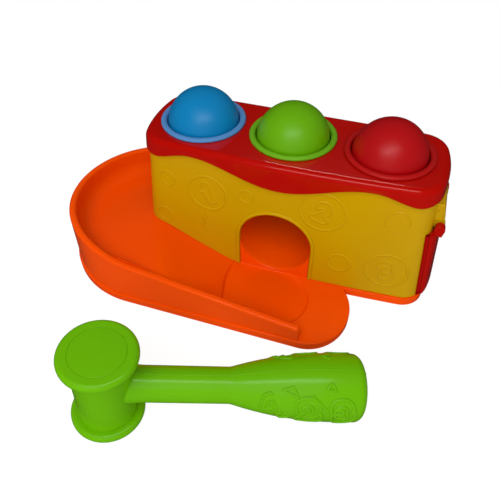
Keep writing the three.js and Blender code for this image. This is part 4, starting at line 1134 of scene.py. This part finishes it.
for corners in triangles:
    sides = np.vstack([np.linspace(a, b, 9)[:-1] for a, b in zip(corners, (*corners[1:], corners[0]))])
    marks.append((np.array([on_grip(s, a, MARK_SINK) for s, a in sides]), True))
    marks.append((np.array([on_grip(s, 180 - a, MARK_SINK) for s, a in sides]), True))
slash = np.linspace((111.2, 134.1), (121.4, 166.9), 12)
marks.append((np.array([on_grip(s, a, MARK_SINK) for s, a in slash]), False))
grip_marks = laid(raised_lines("grip_marks", marks, MARK_WIDTH, green))
for piece in (hammer, ridges, grip_figures, grip_marks):
    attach(piece, "hammer")
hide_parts("hammer_half_front", "hammer_half_back")


DISC_RADIUS = 14.75
DISC_EDGE = 0.2
DISC_DOME = 0.6
DISC_BACK = HEAD_REACH - 2.0


def disc_profile(_):
    edge = arc((DISC_RADIUS - DISC_EDGE, HEAD_REACH - DISC_EDGE), DISC_EDGE, 0, 90, 4)
    dome = [(r, HEAD_REACH + DISC_DOME * (1 - (r / 14.5) ** 2)) for r in np.linspace(14.0, 0, 12)]
    return [(0.0, DISC_BACK), (DISC_RADIUS, DISC_BACK), *edge, *dome]


for name, turn in (("hammer_face_top", 0), ("hammer_face_bottom", pi)):
    disc = moulding(name.replace("face", "disc"), [turned(disc_profile, TURNS)], green)
    disc.data.transform(Matrix.Rotation(turn, 4, "X"))
    laid(disc)
    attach(disc, "hammer")
    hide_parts(name)

# Studio
# A white floor and soft even light from above and in front. A strip beside the camera and a strip behind
# show only as reflections, the second only on the cap; the camera stands where the photograph was taken.
floor_mesh = bpy.data.meshes.new("studio_floor")
floor_mesh.from_pydata([(-3, -3, 0), (3, -3, 0), (3, 3, 0), (-3, 3, 0)], [], [(0, 1, 2, 3)])
studio_floor = shown(bpy.data.objects.new("studio_floor", floor_mesh))
studio_floor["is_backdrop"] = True

white, tree, shader = principled("white_floor")
shader.inputs["Base Color"].default_value = (0.86, 0.86, 0.86, 1)
shader.inputs["Roughness"].default_value = 0.9
shader.inputs["Specular IOR Level"].default_value = 0.0
seen = [Wire.of(tree, "ShaderNodeLightPath", output=name)
        for name in ("Is Camera Ray", "Is Glossy Ray")]
paper, shade = (Wire.of(tree, "ShaderNodeEmission", {}, {"Color": (1.0, 1.0, 1.0), "Strength": glow})
                for glow in (1.12, 0.02))
bright = Wire.of(tree, "ShaderNodeMixShader", {}, {0: 0.8 * seen[0], 1: Wire(shader.outputs[0]), 2: paper})
mixed = Wire.of(tree, "ShaderNodeMixShader", {}, {0: seen[1], 1: bright, 2: shade})
tree.links.new(mixed.socket, tree.nodes["Material Output"].inputs["Surface"])
floor_mesh.materials.append(white)

world = bpy.data.worlds.new("studio_light")
bpy.context.scene.world = world
world.use_nodes = True
sky = world.node_tree
background = sky.nodes["Background"]
background.inputs["Color"].default_value = (1, 1, 1, 1)
looked_at = Wire.of(sky, "ShaderNodeLightPath", output="Is Camera Ray")
sky.links.new((0.45 + 0.55 * looked_at).socket, background.inputs["Strength"])
world.cycles_visibility.glossy = False

LIT = Vector((-0.03, -0.04, 0.05))
# Each lamp has a name, a place, a size in metres and a power in watts, and says whether it lights the
# surfaces and whether it shows as a reflection.
LAMPS = (("key", (0.03, -0.6, 0.75), (0.7, 0.7), 5.0, True, False),
         ("sheen", (0.04, -0.19, 0.3), (0.24, 0.04), 0.16, False, True),
         ("front", (0.1, -0.8, 0.3), (0.7, 0.7), 1.1, True, False),
         ("glint", (-0.033, 0.448, 0.63), (0.29, 0.035), 0.8, False, True))
for name, place, size, power, lights, mirrored in LAMPS:
    lamp = bpy.data.lights.new(name, "AREA")
    lamp.shape = "RECTANGLE"
    lamp.size, lamp.size_y = size
    lamp.energy = power
    light = shown(bpy.data.objects.new(name, lamp))
    light.location = place
    light.visible_diffuse = lights
    light.visible_glossy = mirrored
    light.rotation_euler = (LIT - Vector(place)).to_track_quat("-Z", "Y").to_euler()
    if name == "glint":
        glint_receivers = bpy.data.collections.new("glint_receivers")
        glint_receivers.objects.link(cap)
        light.light_linking.receiver_collection = glint_receivers

camera_data = bpy.data.cameras.new("photo_camera")
camera_data.sensor_width = 36.0
camera_data.lens = 36.68
camera = shown(bpy.data.objects.new("photo_camera", camera_data))
camera.location = (0.0602, -0.2725, 0.2802)
camera.rotation_euler = Vector((-0.2158, 0.6603, -0.7193)).to_track_quat("-Z", "Y").to_euler()
bpy.context.scene.camera = camera
bpy.context.scene.view_settings.view_transform = "Standard"

boxes = {"cad": cad_box, "visual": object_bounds()}
